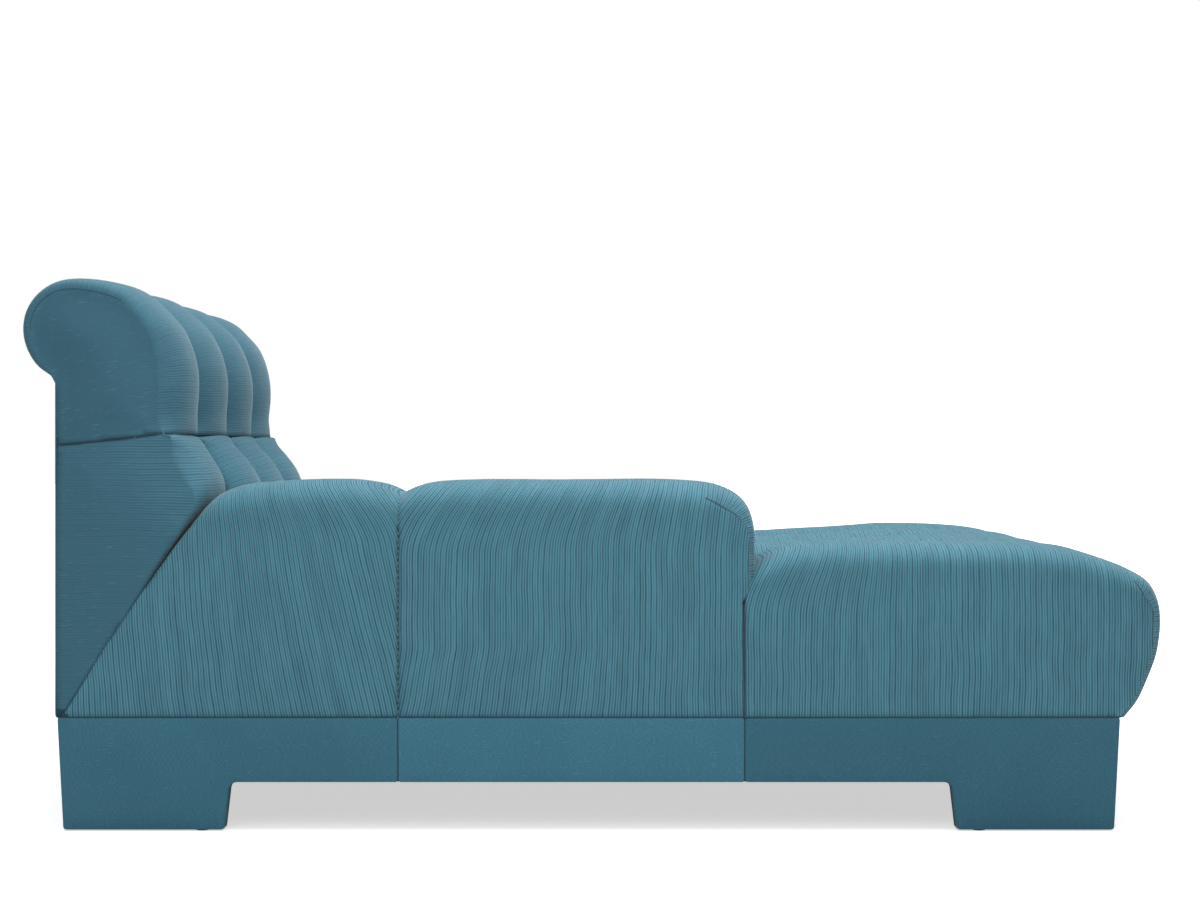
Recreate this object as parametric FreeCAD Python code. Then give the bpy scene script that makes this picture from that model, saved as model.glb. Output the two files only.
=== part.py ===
"""One-armed upholstered chaise longue, in millimetres.

The length runs along X with the foot end at +X. The arm is on the -Y side and the floor is Z = 0.
The origin is at floor level under the middle of the whole piece.
"""

import FreeCAD
import Part
import math
import os

Vector = FreeCAD.Vector

# Overall sizes
LENGTH = 1663.0
CHANNEL_WIDTH = 237.5
CHANNEL_COUNT = 4
HEIGHT = 801.5
ARM_Z = 505.5
SEAT_Z = 414.5
TUFT_Z = 571.5
PLINTH_Z = 164.0

# Padding outline, measured along the length
ROLL_OVERHANG = 55.0
ROLL_RADIUS = 77.0
NOSE_OVERHANG = 73.5
NOSE_HEIGHT = 290.0
NOSE_TUCK = 53.5
UPPER_DEPTH = 185.5
TUFT_DEPTH = 178.0
LOWER_DEPTH = 266.0
SEAT_REAR_DEPTH = 216.0
ARM_SPLIT_DEPTH = 494.0
ARM_FRONT_DEPTH = 993.0
ARM_BULGE = 14.0
ARM_KNEE_DEPTH = 161.5
ARM_KNEE_Z = 402.0
ARM_FOOT_SETBACK = 6.5
ARM_TOP_START = 325.5
ARM_DIP = 17.0
ARM_DIP_LENGTH = 45.0
ARM_SIDE_BACK_SETBACK = 9.0

# Seat outline: the rear rise, the brow over the nose and the chin under it
SEAT_REAR_DROP = 62.0
SEAT_REAR_BEND = 18.0
SEAT_REAR_CROWN = 8.0
SEAT_REAR_RUN = 64.0
SEAT_REAR_FALL = 9.0
BROW_DEPTH = 140.0
BROW_FALL = 7.0
BROW_MID_DEPTH = 46.0
BROW_MID_FALL = 38.5
NOSE_TOP_DEPTH = 5.0
NOSE_TOP_RISE = 45.0
CHIN_DEPTH = 10.5
CHIN_FALL = 53.0
THROAT_DEPTH = 28.5
THROAT_FALL = 90.0
HEM_DEPTH = 4.0

# Upper back outline: the front face, its shoulder and the crest before the roll
FACE_RISE = 74.0
FACE_END_DEPTH = 10.0
FACE_END_RISE = 134.0
BACK_SHOULDER_DEPTH = 42.0
BACK_SHOULDER_FALL = 47.0
CREST_FRONT_DEPTH = 89.0
CREST_FRONT_FALL = 13.0
CREST_MID_DEPTH = 125.0
CREST_MID_FALL = 2.0
NOTCH_ANGLE = 250.0
NOTCH_STEP = 0.5

# Lower back outline: the bulge under the tufts and the tuck behind the seat
LOWER_BULGE_REACH = 32.0
LOWER_BULGE_FALL = 30.0
LOWER_TOP_REACH = 53.0
LOWER_TOP_FALL = 60.0
LOWER_MID_DEPTH = 16.0
LOWER_MID_FALL = 21.0
LOWER_FRONT_RISE = 21.5
TUCK_RISE = 4.0
TUCK_SETBACK = 1.5
TUCK_END_DEPTH = 18.0
TUCK_END_FALL = 9.5
TUCK_FOOT_FALL = 36.5
SIDE_TOP_FALL = 62.0
SIDE_MID_REACH = 54.0
SIDE_MID_FALL = 85.0
SIDE_FOOT_REACH = 45.0
SIDE_FOOT_FALL = 107.0

# Arm outlines: the rise from the knee, the dip at the split and the front corner
ARM_RISE_RUN = 62.0
ARM_RISE_CROWN = 7.0
ARM_CROWN = 1.0
ARM_FRONT_CROWN = 2.0
DIP_BEND_RUN = 16.0
DIP_BEND_FALL = 5.0
CORNER_RUN = 68.0
CORNER_FALL = 3.0
CORNER_MID_RUN = 22.0
CORNER_MID_FALL = 23.0
CORNER_END_RUN = 2.0
CORNER_END_FALL = 67.0
BULGE_END_FALL = 172.0

# How far the padding is drawn in at its seams and shoulders
SEAM_DRAW = 28.0
SEAT_SHOULDER = 46.0
NOSE_SIDE_DRAW = 22.0
BACK_SIDE_DRAW = 19.0
ARM_SHOULDER = 58.0
ARM_END_DRAW = 12.0
SEAM_POWER = 2.2
SHOULDER_POWER = 3.2
LOFT_STEPS = 8
COVER_THICKNESS = 2.0
FOAM_CLEAR = 0.3
PAD_GAP = 0.6
FRAME_CLEAR = 0.5
PAD_OVERRUN = 6.0

# Plinth
PLINTH_REAR_SETBACK = 3.0
PLINTH_SIDE_SETBACK = 1.5
PLINTH_TAPER = 7.0
PLINTH_BOARD = 25.0
PLINTH_COVER = 3.0
COVER_SEAM = 0.5
REAR_FOOT_LENGTH = 246.0
FRONT_FOOT_LENGTH = 241.0
END_FOOT_LENGTH = 205.0
FOOT_NARROWING = 8.5
ARCH_Z = 72.0
ARCH_RADIUS = 12.0
GLIDE_HEIGHT = 3.0
GLIDE_RADIUS = 10.0
GLIDE_DISTANCE = 40.0
BLOCK_SIZE = 62.0
CLEAT_WIDTH = 30.0
CLEAT_DEPTH = 28.0
DUST_CLOTH = 1.0

# Seat frame and suspension
SIDE_PADDING = 30.0
RAIL_THICKNESS = 28.0
RAIL_TOP_Z = 286.0
SEAT_FRAME_SETBACK = 116.5
BRACE_WIDTH = 50.0
BRACE_DEPTH = 45.0
BRACE_AFTER_SPRING = (1, 4, 6, 8)
SPRING_COUNT = 11
SPRING_WIRE = 3.8
SPRING_STRAIGHT = 16.0
SPRING_BENDS = 26
CLIP_THICKNESS = 1.5
CLIP_LENGTH = 22.0
SLAB_THICKNESS = 50.0
SLAB_CLEAR = 0.6

# Back frame
BACK_FRAME_DEPTH = 42.0
BACK_FRAME_TOP_Z = 735.0
POST_WIDTH = 45.0
BACK_RAIL_HEIGHT = 70.0
BACK_RAIL_Z = 300.0
WEB_WIDTH = 60.0
WEB_THICKNESS = 2.0
UPRIGHT_WEBS = 6
CROSS_WEBS = 4
BACK_BOARD = 1.6
OUTSIDE_BACK = 2.0

# Arm frame
ARM_PANEL = 18.0
ARM_FRAME_TOP_Z = 452.0
ARM_FRAME_END_PADDING = 44.5
ARM_PADDING = 28.0
ARM_FRAME_REAR_TOP = 228.0
ARM_FRAME_REAR_Z = 215.0

# Bolts
BOLT_RADIUS = 4.0
BOLT_CLEAR = 0.3
BOLT_HEAD_RADIUS = 8.0
BOLT_HEAD = 4.5
BOLT_LENGTH = 62.0
BOLT_PITCH = 35.0
BOLT_FIRST = 27.0
BOLTS_PER_POST = 3
BOLT_EDGE = 2.0

# Places that follow from the sizes
HALF_WIDTH = CHANNEL_WIDTH * CHANNEL_COUNT / 2
ROLL_X = -LENGTH / 2
NOSE_X = LENGTH / 2
BACK_X = ROLL_X + ROLL_OVERHANG
PAD_REAR_X = BACK_X + OUTSIDE_BACK + FOAM_CLEAR
PAD_BOTTOM_Z = PLINTH_Z + PAD_GAP
PAD_FOOT_Z = PAD_BOTTOM_Z - PAD_OVERRUN
FRAME_HALF = HALF_WIDTH - SIDE_PADDING
BOARD_X = PAD_REAR_X
BACK_FRAME_X = BOARD_X + BACK_BOARD + FOAM_CLEAR
BACK_FRAME_FRONT_X = BACK_FRAME_X + BACK_FRAME_DEPTH
BACK_PAD_X = BACK_FRAME_FRONT_X + 2 * WEB_THICKNESS
SEAT_FRAME_X = BACK_FRAME_FRONT_X
SEAT_FRAME_FRONT_X = NOSE_X - SEAT_FRAME_SETBACK
SEAT_REAR_X = BACK_X + SEAT_REAR_DEPTH
SPRING_Z = RAIL_TOP_Z + CLIP_THICKNESS + SPRING_WIRE / 2
SLAB_Z = SPRING_Z + SPRING_WIRE / 2 + CLIP_THICKNESS + SLAB_CLEAR
SLAB_TOP_Z = SLAB_Z + SLAB_THICKNESS
ARM_SPLIT_X = BACK_X + ARM_SPLIT_DEPTH
ARM_FRONT_X = BACK_X + ARM_FRONT_DEPTH
ARM_KNEE_X = BACK_X + ARM_KNEE_DEPTH
ARM_FRAME_FRONT_X = ARM_FRONT_X - ARM_FRAME_END_PADDING
ARM_FRAME_OUTER_Y = -FRAME_HALF
ARM_FRAME_INNER_Y = CHANNEL_WIDTH - HALF_WIDTH - ARM_PADDING
PLINTH_REAR_X = BACK_X + PLINTH_REAR_SETBACK
PLINTH_FRONT_X = NOSE_X - NOSE_OVERHANG
PLINTH_HALF = HALF_WIDTH - PLINTH_SIDE_SETBACK
TALL = 2 * HEIGHT
WIDE = 2 * LENGTH


def box(x0, x1, y0, y1, z0, z1):
    """A block between two corners."""
    return Part.makeBox(x1 - x0, y1 - y0, z1 - z0, Vector(x0, y0, z0))


def section(y, start, steps):
    """A closed outline in the plane at y. A step of two numbers is a line, one of four is an arc."""
    edges = []
    here = Vector(start[0], y, start[1])
    for step in steps:
        end = Vector(step[-2], y, step[-1])
        if len(step) == 2:
            edges.append(Part.LineSegment(here, end).toShape())
        else:
            edges.append(Part.Arc(here, Vector(step[0], y, step[1]), end).toShape())
        here = end
    first = Vector(start[0], y, start[1])
    edges.append(Part.LineSegment(here, first).toShape())
    return Part.Wire(edges)


def prism(outline, y0, y1):
    """An outline given as (x, z) points, pushed straight across the width."""
    points = [Vector(x, y0, z) for x, z in outline]
    face = Part.Face(Part.makePolygon(points + points[:1]))
    return face.extrude(Vector(0, y1 - y0, 0))


def draw(share, power):
    """The part of a full draw-in at a share of the width, from 1 at a seam to 0 on the crest."""
    return 1 - (1 - abs(2 * share - 1) ** power) ** (1 / power)


def channel(outline, low, high, y0, y1, skin):
    """A pad crowned across its width. low and high are (top draw, end draw, power) at its two edges."""
    wires = []
    for step in range(LOFT_STEPS + 1):
        share = (1 - math.cos(math.pi * step / LOFT_STEPS)) / 2
        top, end, power = low if share < 0.5 else high
        part = draw(share, power)
        y = y0 + skin + (y1 - y0 - 2 * skin) * share
        start, steps = outline(top * part + skin, end * part + skin, skin)
        wires.append(section(y, start, steps))
    return Part.makeLoft(wires, True, False)


def channel_span(number):
    """The two edges of a channel across the width, counted from 1 at the arm side."""
    y0 = -HALF_WIDTH + (number - 1) * CHANNEL_WIDTH
    return y0 + PAD_GAP / 2, y0 + CHANNEL_WIDTH - PAD_GAP / 2


def channel_edges(number, inner, outer):
    """The draw-in at the low and high edge of a channel, the first and last having an outer side."""
    low = outer if number == 1 else inner
    high = outer if number == CHANNEL_COUNT else inner
    return low, high


def frame_space(clear):
    """The room that the hidden frame, springs and slab take out of the padding, as three blocks."""
    half = FRAME_HALF + clear
    board = BOARD_X - FOAM_CLEAR / 2
    notch = notch_z() + clear
    front = BACK_PAD_X + clear
    rear = BACK_X - FRAME_CLEAR
    return [
        box(board, SEAT_FRAME_FRONT_X + clear, -half, half, 0, SLAB_TOP_Z + clear),
        box(rear, front, -half, half, 0, notch),
        box(board, front, -half, half, 0, BACK_FRAME_TOP_Z + clear),
    ]


def arm_space(clear):
    """The room that the arm frame takes out of the arm padding."""
    outline = [
        (ARM_FRAME_FRONT_X + clear, 0),
        (ARM_FRAME_FRONT_X + clear, ARM_FRAME_TOP_Z + clear),
        (BACK_X + ARM_FRAME_REAR_TOP - clear, ARM_FRAME_TOP_Z + clear),
        (BACK_FRAME_FRONT_X - clear, ARM_FRAME_REAR_Z + clear),
        (BACK_FRAME_FRONT_X - clear, 0),
    ]
    return prism(outline, ARM_FRAME_OUTER_Y - clear, ARM_FRAME_INNER_Y + clear)


def notch_z():
    """The height of the notch under the roll, at the back of the piece."""
    return HEIGHT - ROLL_RADIUS - ROLL_RADIUS * math.cos(math.radians(270 - NOTCH_ANGLE))


def seat_outline(rear_x):
    """The side view of a seat channel, from its rear end over the crown and round the nose."""
    def outline(top, end, skin):
        z = SEAT_Z - top
        x = NOSE_X - end
        rear = rear_x + skin
        rear_low = SEAT_Z - SEAT_REAR_DROP - top
        rear_mid = (rear_low + z) / 2 + SEAT_REAR_CROWN
        brow_z = SEAT_Z - BROW_MID_FALL - 0.8 * top
        nose_top_z = NOSE_HEIGHT + NOSE_TOP_RISE - 0.35 * top
        start = (rear, PAD_FOOT_Z)
        steps = [
            (rear, rear_low),
            (rear + SEAT_REAR_BEND, rear_mid, rear + SEAT_REAR_RUN, z - SEAT_REAR_FALL),
            ((rear + NOSE_X) / 2, z, x - BROW_DEPTH, z - BROW_FALL),
            (x - BROW_MID_DEPTH, brow_z, x - NOSE_TOP_DEPTH, nose_top_z),
            (x, NOSE_HEIGHT - 0.1 * top, x - CHIN_DEPTH, NOSE_HEIGHT - CHIN_FALL),
            (x - THROAT_DEPTH, NOSE_HEIGHT - THROAT_FALL, x - NOSE_TUCK, PAD_BOTTOM_Z),
            (x - NOSE_TUCK - HEM_DEPTH, PAD_FOOT_Z),
        ]
        return start, steps
    return outline


def upper_outline(top, end, skin):
    """The side view of an upper back channel: the front face, the roll over the top and the notch."""
    front = BACK_X + UPPER_DEPTH - end
    low = TUFT_Z + PAD_GAP / 2 + skin
    rear = PAD_REAR_X + skin
    roll_x = ROLL_X + ROLL_RADIUS
    roll_z = HEIGHT - ROLL_RADIUS
    radius = ROLL_RADIUS - end
    def on_roll(angle):
        turn = math.radians(angle)
        return roll_x + radius * math.cos(turn), roll_z + radius * math.sin(turn)
    notch = on_roll(NOTCH_ANGLE)
    shoulder = (front - BACK_SHOULDER_DEPTH + 0.2 * end, HEIGHT - BACK_SHOULDER_FALL - 0.6 * end)
    start = (BACK_X + TUFT_DEPTH - end, low)
    steps = [
        (front, TUFT_Z + FACE_RISE, front - FACE_END_DEPTH, TUFT_Z + FACE_END_RISE),
        shoulder + (front - CREST_FRONT_DEPTH, HEIGHT - CREST_FRONT_FALL - end),
        (front - CREST_MID_DEPTH, HEIGHT - CREST_MID_FALL - end) + on_roll(90),
        on_roll(135) + on_roll(180),
        on_roll(215) + notch,
        (rear, notch[1] + NOTCH_STEP),
        (rear, low),
    ]
    return start, steps


def lower_outline(top, end, skin):
    """The side view of a lower back channel, which leans forward and tucks in behind the seat."""
    tuft = BACK_X + TUFT_DEPTH - end
    front = BACK_X + LOWER_DEPTH - end
    seat = SEAT_REAR_X - PAD_GAP - skin
    rear = PAD_REAR_X + skin
    high = TUFT_Z - PAD_GAP / 2 - skin
    bulge_z = TUFT_Z - LOWER_BULGE_FALL - 0.3 * end
    middle_z = (TUFT_Z + SEAT_Z) / 2 - LOWER_MID_FALL
    tuck_z = SEAT_Z + TUCK_RISE + skin
    start = (tuft, high)
    steps = [
        (tuft + LOWER_BULGE_REACH, bulge_z, tuft + LOWER_TOP_REACH, TUFT_Z - LOWER_TOP_FALL),
        (front - LOWER_MID_DEPTH, middle_z, front, SEAT_Z + LOWER_FRONT_RISE),
        (front - TUCK_SETBACK, tuck_z, front - TUCK_END_DEPTH, SEAT_Z - TUCK_END_FALL + skin),
        (seat, SEAT_Z - TUCK_FOOT_FALL + skin),
        (seat, PAD_FOOT_Z),
        (rear, PAD_FOOT_Z),
        (rear, high),
    ]
    return start, steps


def lower_arm_side_outline(top, end, skin):
    """The side view of the lower back channel that ends against the arm's slanted seam."""
    tuft = BACK_X + TUFT_DEPTH - ARM_SIDE_BACK_SETBACK - end
    gap = 1.2 * PAD_GAP + skin
    rear = PAD_REAR_X + skin
    high = TUFT_Z - PAD_GAP / 2 - skin
    knee = (ARM_KNEE_X - gap, ARM_KNEE_Z)
    bulge_z = TUFT_Z - LOWER_BULGE_FALL - 0.3 * end
    start = (tuft, high)
    steps = [
        (tuft + LOWER_BULGE_REACH, bulge_z, tuft + LOWER_TOP_REACH, TUFT_Z - SIDE_TOP_FALL),
        (tuft + SIDE_MID_REACH, TUFT_Z - SIDE_MID_FALL, tuft + SIDE_FOOT_REACH, TUFT_Z - SIDE_FOOT_FALL),
        knee,
        (PAD_REAR_X + ARM_FOOT_SETBACK - gap, PAD_FOOT_Z),
        (rear, PAD_FOOT_Z),
        (rear, high),
    ]
    return start, steps


def arm_rear_outline(top, end, skin):
    """The side view of the rear arm pad, from the slanted seam to the split."""
    z = ARM_Z - top
    split = ARM_SPLIT_X - PAD_GAP / 2 - skin
    crest = BACK_X + ARM_TOP_START
    start = (PAD_REAR_X + ARM_FOOT_SETBACK + skin, PAD_FOOT_Z)
    steps = [
        (ARM_KNEE_X + skin, ARM_KNEE_Z),
        (ARM_KNEE_X + ARM_RISE_RUN, (ARM_KNEE_Z + z) / 2 + ARM_RISE_CROWN, crest, z),
        ((crest + split - ARM_DIP_LENGTH) / 2, z + ARM_CROWN, split - ARM_DIP_LENGTH, z),
        (split - DIP_BEND_RUN, z - DIP_BEND_FALL, split, z - ARM_DIP),
        (split, PAD_FOOT_Z),
    ]
    return start, steps


def arm_front_outline(top, end, skin):
    """The side view of the front arm pad, from the split to its rounded front end."""
    z = ARM_Z - top
    split = ARM_SPLIT_X + PAD_GAP / 2 + skin
    front = ARM_FRONT_X + ARM_BULGE - end
    base = ARM_FRONT_X - skin
    corner = ARM_Z - CORNER_END_FALL - 0.55 * top
    bulge_low = ARM_Z - BULGE_END_FALL
    start = (split, PAD_FOOT_Z)
    steps = [
        (split, z - ARM_DIP),
        (split + DIP_BEND_RUN, z - DIP_BEND_FALL, split + ARM_DIP_LENGTH, z),
        ((split + front) / 2, z + ARM_FRONT_CROWN, front - CORNER_RUN, z - CORNER_FALL),
        (front - CORNER_MID_RUN, z - CORNER_MID_FALL, front - CORNER_END_RUN, corner),
        (front, (corner + bulge_low) / 2, base - 0.2 * end, bulge_low),
        (base, PAD_FOOT_Z),
    ]
    return start, steps


def padded_pair(outline, number, inner, outer, spaces):
    """The cover and the foam of one channel, cut to fit round the hidden frame."""
    y0, y1 = channel_span(number)
    low, high = channel_edges(number, inner, outer)
    shell = channel(outline, low, high, y0, y1, 0)
    hollow = channel(outline, low, high, y0, y1, COVER_THICKNESS)
    foam = channel(outline, low, high, y0, y1, COVER_THICKNESS + FOAM_CLEAR)
    cover = shell.cut(hollow)
    spaces = spaces + [box(-WIDE, WIDE, -WIDE, WIDE, -WIDE, PAD_BOTTOM_Z)]
    for space in spaces:
        cover = biggest(cover.cut(space))
        foam = biggest(foam.cut(space))
    return cover, foam


def biggest(shape):
    """The largest solid of a shape, without the crumbs that a cut may leave."""
    return max(shape.Solids, key=lambda solid: solid.Volume)


def seat_pads():
    """The foam and cover of each seat channel. The first one starts at the front of the arm."""
    pieces = {}
    space = frame_space(FRAME_CLEAR)
    arm = channel(arm_front_outline, *arm_edges(), *channel_span(1), -PAD_GAP)
    inner = (SEAM_DRAW, SEAM_DRAW, SEAM_POWER)
    outer = (SEAT_SHOULDER, NOSE_SIDE_DRAW, SHOULDER_POWER)
    for number in range(1, CHANNEL_COUNT + 1):
        behind_arm = number > 1
        rear_x = SEAT_REAR_X if behind_arm else ARM_FRONT_X + PAD_GAP
        outline = seat_outline(rear_x)
        spaces = space if behind_arm else space + [arm]
        cover, foam = padded_pair(outline, number, inner, outer, spaces)
        pieces[f"seat_cover_channel_{number}"] = cover
        pieces[f"seat_foam_channel_{number}"] = foam
    return pieces


def back_pads():
    """The foam and cover of the upper and lower channels of the back."""
    pieces = {}
    space = frame_space(FRAME_CLEAR)
    inner = (SEAM_DRAW, SEAM_DRAW, SEAM_POWER)
    outer = (BACK_SIDE_DRAW, BACK_SIDE_DRAW, SHOULDER_POWER)
    for number in range(1, CHANNEL_COUNT + 1):
        lower = lower_arm_side_outline if number == 1 else lower_outline
        for tier, outline in (("upper", upper_outline), ("lower", lower)):
            cover, foam = padded_pair(outline, number, inner, outer, space)
            pieces[f"back_{tier}_cover_{number}"] = cover
            pieces[f"back_{tier}_foam_{number}"] = foam
    return pieces


def arm_edges():
    """The draw-in of the arm padding at its outer and inner side."""
    edge = (ARM_SHOULDER, ARM_END_DRAW, SHOULDER_POWER)
    return edge, edge


def arm_pads():
    """The foam and cover of the rear and front arm pads, which meet at the split seam."""
    pieces = {}
    spaces = frame_space(FRAME_CLEAR) + [arm_space(FRAME_CLEAR)]
    edge = arm_edges()[0]
    for name, outline in (("rear", arm_rear_outline), ("front", arm_front_outline)):
        cover, foam = padded_pair(outline, 1, edge, edge, spaces)
        pieces[f"arm_cover_{name}"] = cover
        pieces[f"arm_foam_{name}"] = foam
    return pieces


def taper_block(inset, z0, z1):
    """The plinth's outer form, set in all round and leaning in towards the floor."""
    wires = []
    for z in (z0, z1):
        lean = inset + PLINTH_TAPER * (PLINTH_Z - z) / PLINTH_Z
        x0 = PLINTH_REAR_X + lean
        x1 = PLINTH_FRONT_X - lean
        y = PLINTH_HALF - lean
        corners = [Vector(x0, -y, z), Vector(x1, -y, z), Vector(x1, y, z), Vector(x0, y, z)]
        wires.append(Part.makePolygon(corners + corners[:1]))
    return Part.makeLoft(wires, True, True)


def moved(shape, x, y):
    """A copy of a shape shifted over the floor."""
    copy = shape.copy()
    copy.translate(Vector(x, y, 0))
    return copy


def arch(low, high, across):
    """The opening between two feet, as a tool that cuts through a plinth side or end."""
    slope = FOOT_NARROWING * ARCH_RADIUS / ARCH_Z
    corner = ARCH_RADIUS * (1 - math.cos(math.radians(45)))
    base = GLIDE_HEIGHT - ARCH_RADIUS
    def at(u, z):
        return Vector(u, -WIDE, z) if across else Vector(-WIDE, u, z)
    left = at(low - slope, ARCH_Z - ARCH_RADIUS)
    right = at(high + slope, ARCH_Z - ARCH_RADIUS)
    left_top = at(low + ARCH_RADIUS, ARCH_Z)
    right_top = at(high - ARCH_RADIUS, ARCH_Z)
    left_low = at(low - FOOT_NARROWING, base)
    right_low = at(high + FOOT_NARROWING, base)
    left_mid = at(low + corner - slope / 2, ARCH_Z - corner)
    right_mid = at(high - corner + slope / 2, ARCH_Z - corner)
    edges = [
        Part.LineSegment(left_low, left).toShape(),
        Part.Arc(left, left_mid, left_top).toShape(),
        Part.LineSegment(left_top, right_top).toShape(),
        Part.Arc(right_top, right_mid, right).toShape(),
        Part.LineSegment(right, right_low).toShape(),
        Part.LineSegment(right_low, left_low).toShape(),
    ]
    face = Part.Face(Part.Wire(edges))
    return face.extrude(Vector(0, 2 * WIDE, 0) if across else Vector(2 * WIDE, 0, 0))


def plinth_sides(inset, thickness):
    """The two long sides and two ends of one layer of the plinth, with the arches cut out."""
    outer = taper_block(inset, GLIDE_HEIGHT, PLINTH_Z)
    side_arch = arch(PLINTH_REAR_X + REAR_FOOT_LENGTH, PLINTH_FRONT_X - FRONT_FOOT_LENGTH, True)
    end_arch = arch(END_FOOT_LENGTH - PLINTH_HALF, PLINTH_HALF - END_FOOT_LENGTH, False)
    arm_side = outer.cut(moved(outer, 0, thickness))
    open_side = outer.cut(moved(outer, 0, -thickness))
    both = arm_side.fuse(open_side)
    return {
        "arm_side": arm_side.cut(side_arch),
        "open_side": open_side.cut(side_arch),
        "foot_end": outer.cut(moved(outer, -thickness, 0)).cut(both).cut(end_arch),
        "back_end": outer.cut(moved(outer, thickness, 0)).cut(both).cut(end_arch),
    }


def rail_and_feet(board):
    """A plinth side as it is glued up: a straight rail with a foot board under each end."""
    under = box(-WIDE, WIDE, -WIDE, WIDE, 0, ARCH_Z)
    return Part.makeCompound(board.cut(under).Solids + board.common(under).Solids)


def plinth():
    """The plinth boards, their fabric covers, corner blocks, cleats and glides."""
    pieces = {}
    seams = Part.makeCompound([
        box(x - COVER_SEAM / 2, x + COVER_SEAM / 2, -WIDE, WIDE, 0, TALL)
        for x in (ARM_SPLIT_X, ARM_FRONT_X)
    ])
    for name, board in plinth_sides(PLINTH_COVER, PLINTH_BOARD).items():
        pieces[f"plinth_panel_{name}"] = rail_and_feet(board)
    for name, cloth in plinth_sides(0, PLINTH_COVER).items():
        pieces[f"plinth_cover_{name}"] = cloth.cut(seams)
    lean = PLINTH_COVER + PLINTH_BOARD + PLINTH_TAPER
    x0 = PLINTH_REAR_X + lean
    x1 = PLINTH_FRONT_X - lean
    y = PLINTH_HALF - lean
    blocks = []
    for bx in (x0, x1 - BLOCK_SIZE):
        for by in (-y, y - BLOCK_SIZE):
            blocks.append(box(bx, bx + BLOCK_SIZE, by, by + BLOCK_SIZE, GLIDE_HEIGHT, PLINTH_Z))
    pieces["plinth_corner_blocks"] = Part.makeCompound(blocks)
    cleats = []
    top = PLINTH_Z
    low = PLINTH_Z - CLEAT_DEPTH
    for by in (-y, y - CLEAT_WIDTH):
        cleats.append(box(x0 + BLOCK_SIZE, x1 - BLOCK_SIZE, by, by + CLEAT_WIDTH, low, top))
    for bx in (x0, x1 - CLEAT_WIDTH):
        cleats.append(box(bx, bx + CLEAT_WIDTH, BLOCK_SIZE - y, y - BLOCK_SIZE, low, top))
    pieces["plinth_cleats"] = Part.makeCompound(cleats)
    cloth = box(x0, x1, -y, y, low - DUST_CLOTH, low)
    for block in blocks:
        cloth = cloth.cut(block)
    pieces["dust_cloth"] = cloth
    pieces["foot_glides"] = glides()
    return pieces


def glides():
    """Two round glides under each corner foot."""
    inset = PLINTH_COVER + PLINTH_BOARD / 2 + PLINTH_TAPER
    ends_x = (PLINTH_REAR_X + inset, PLINTH_FRONT_X - inset)
    ends_y = (-PLINTH_HALF + inset, PLINTH_HALF - inset)
    spots = []
    for x, way_x, length in ((ends_x[0], 1, REAR_FOOT_LENGTH), (ends_x[1], -1, FRONT_FOOT_LENGTH)):
        for y, way_y in ((ends_y[0], 1), (ends_y[1], -1)):
            spots.append((x + way_x * (length - inset - GLIDE_DISTANCE), y))
            spots.append((x, y + way_y * (END_FOOT_LENGTH - inset - GLIDE_DISTANCE)))
    discs = [Part.makeCylinder(GLIDE_RADIUS, GLIDE_HEIGHT, Vector(x, y, 0)) for x, y in spots]
    return Part.makeCompound(discs)


def spring_rows():
    """The places of the springs along the seat frame."""
    first = SEAT_FRAME_X + RAIL_THICKNESS
    last = SEAT_FRAME_FRONT_X - RAIL_THICKNESS
    spacing = (last - first) / (SPRING_COUNT + 1)
    return [first + spacing * (row + 1) for row in range(SPRING_COUNT)]


def seat_frame():
    """The rails of the seat frame and the braces between them."""
    y = FRAME_HALF
    x0 = SEAT_FRAME_X
    x1 = SEAT_FRAME_FRONT_X
    t = RAIL_THICKNESS
    rows = spring_rows()
    braces = []
    half = BRACE_WIDTH / 2
    for row in BRACE_AFTER_SPRING:
        x = (rows[row] + rows[row + 1]) / 2
        braces.append(box(x - half, x + half, t - y, y - t, SLAB_Z - BRACE_DEPTH, SLAB_Z))
    holes = bolt_shapes(BOLT_RADIUS + BOLT_CLEAR)
    return {
        "seat_rail_back_end": box(x0, x0 + t, -y, y, PLINTH_Z, RAIL_TOP_Z).cut(holes),
        "seat_rail_foot_end": box(x1 - t, x1, -y, y, PLINTH_Z, RAIL_TOP_Z),
        "seat_rail_arm_side": box(x0 + t, x1 - t, -y, t - y, PLINTH_Z, RAIL_TOP_Z),
        "seat_rail_open_side": box(x0 + t, x1 - t, y - t, y, PLINTH_Z, RAIL_TOP_Z),
        "seat_cross_braces": Part.makeCompound(braces),
    }


def spring_pitch():
    """The distance from one bend of a spring to the next, across the seat."""
    return 2 * (FRAME_HALF - RAIL_THICKNESS / 2) / SPRING_BENDS


def zigzag(x):
    """One sinuous spring across the seat, as a wire swept along straights and bends."""
    pitch = spring_pitch()
    length = pitch * SPRING_BENDS
    y = -length / 2
    reach = SPRING_STRAIGHT / 2
    radius = pitch / 2
    edges = []
    here = Vector(x, y, SPRING_Z)
    way = 1
    for bend in range(SPRING_BENDS):
        turn = Vector(x + way * reach, y, SPRING_Z)
        edges.append(Part.LineSegment(here, turn).toShape())
        crown = Vector(x + way * (reach + radius), y + radius, SPRING_Z)
        after = Vector(x + way * reach, y + pitch, SPRING_Z)
        edges.append(Part.Arc(turn, crown, after).toShape())
        here = after
        y = y + pitch
        way = -way
    end = Vector(x, y, SPRING_Z)
    edges.append(Part.LineSegment(here, end).toShape())
    path = Part.Wire(edges)
    circle = Part.makeCircle(SPRING_WIRE / 2, path.Vertexes[0].Point, Vector(1, 0, 0))
    return path.makePipeShell([Part.Wire(circle)], True, False)


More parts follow.
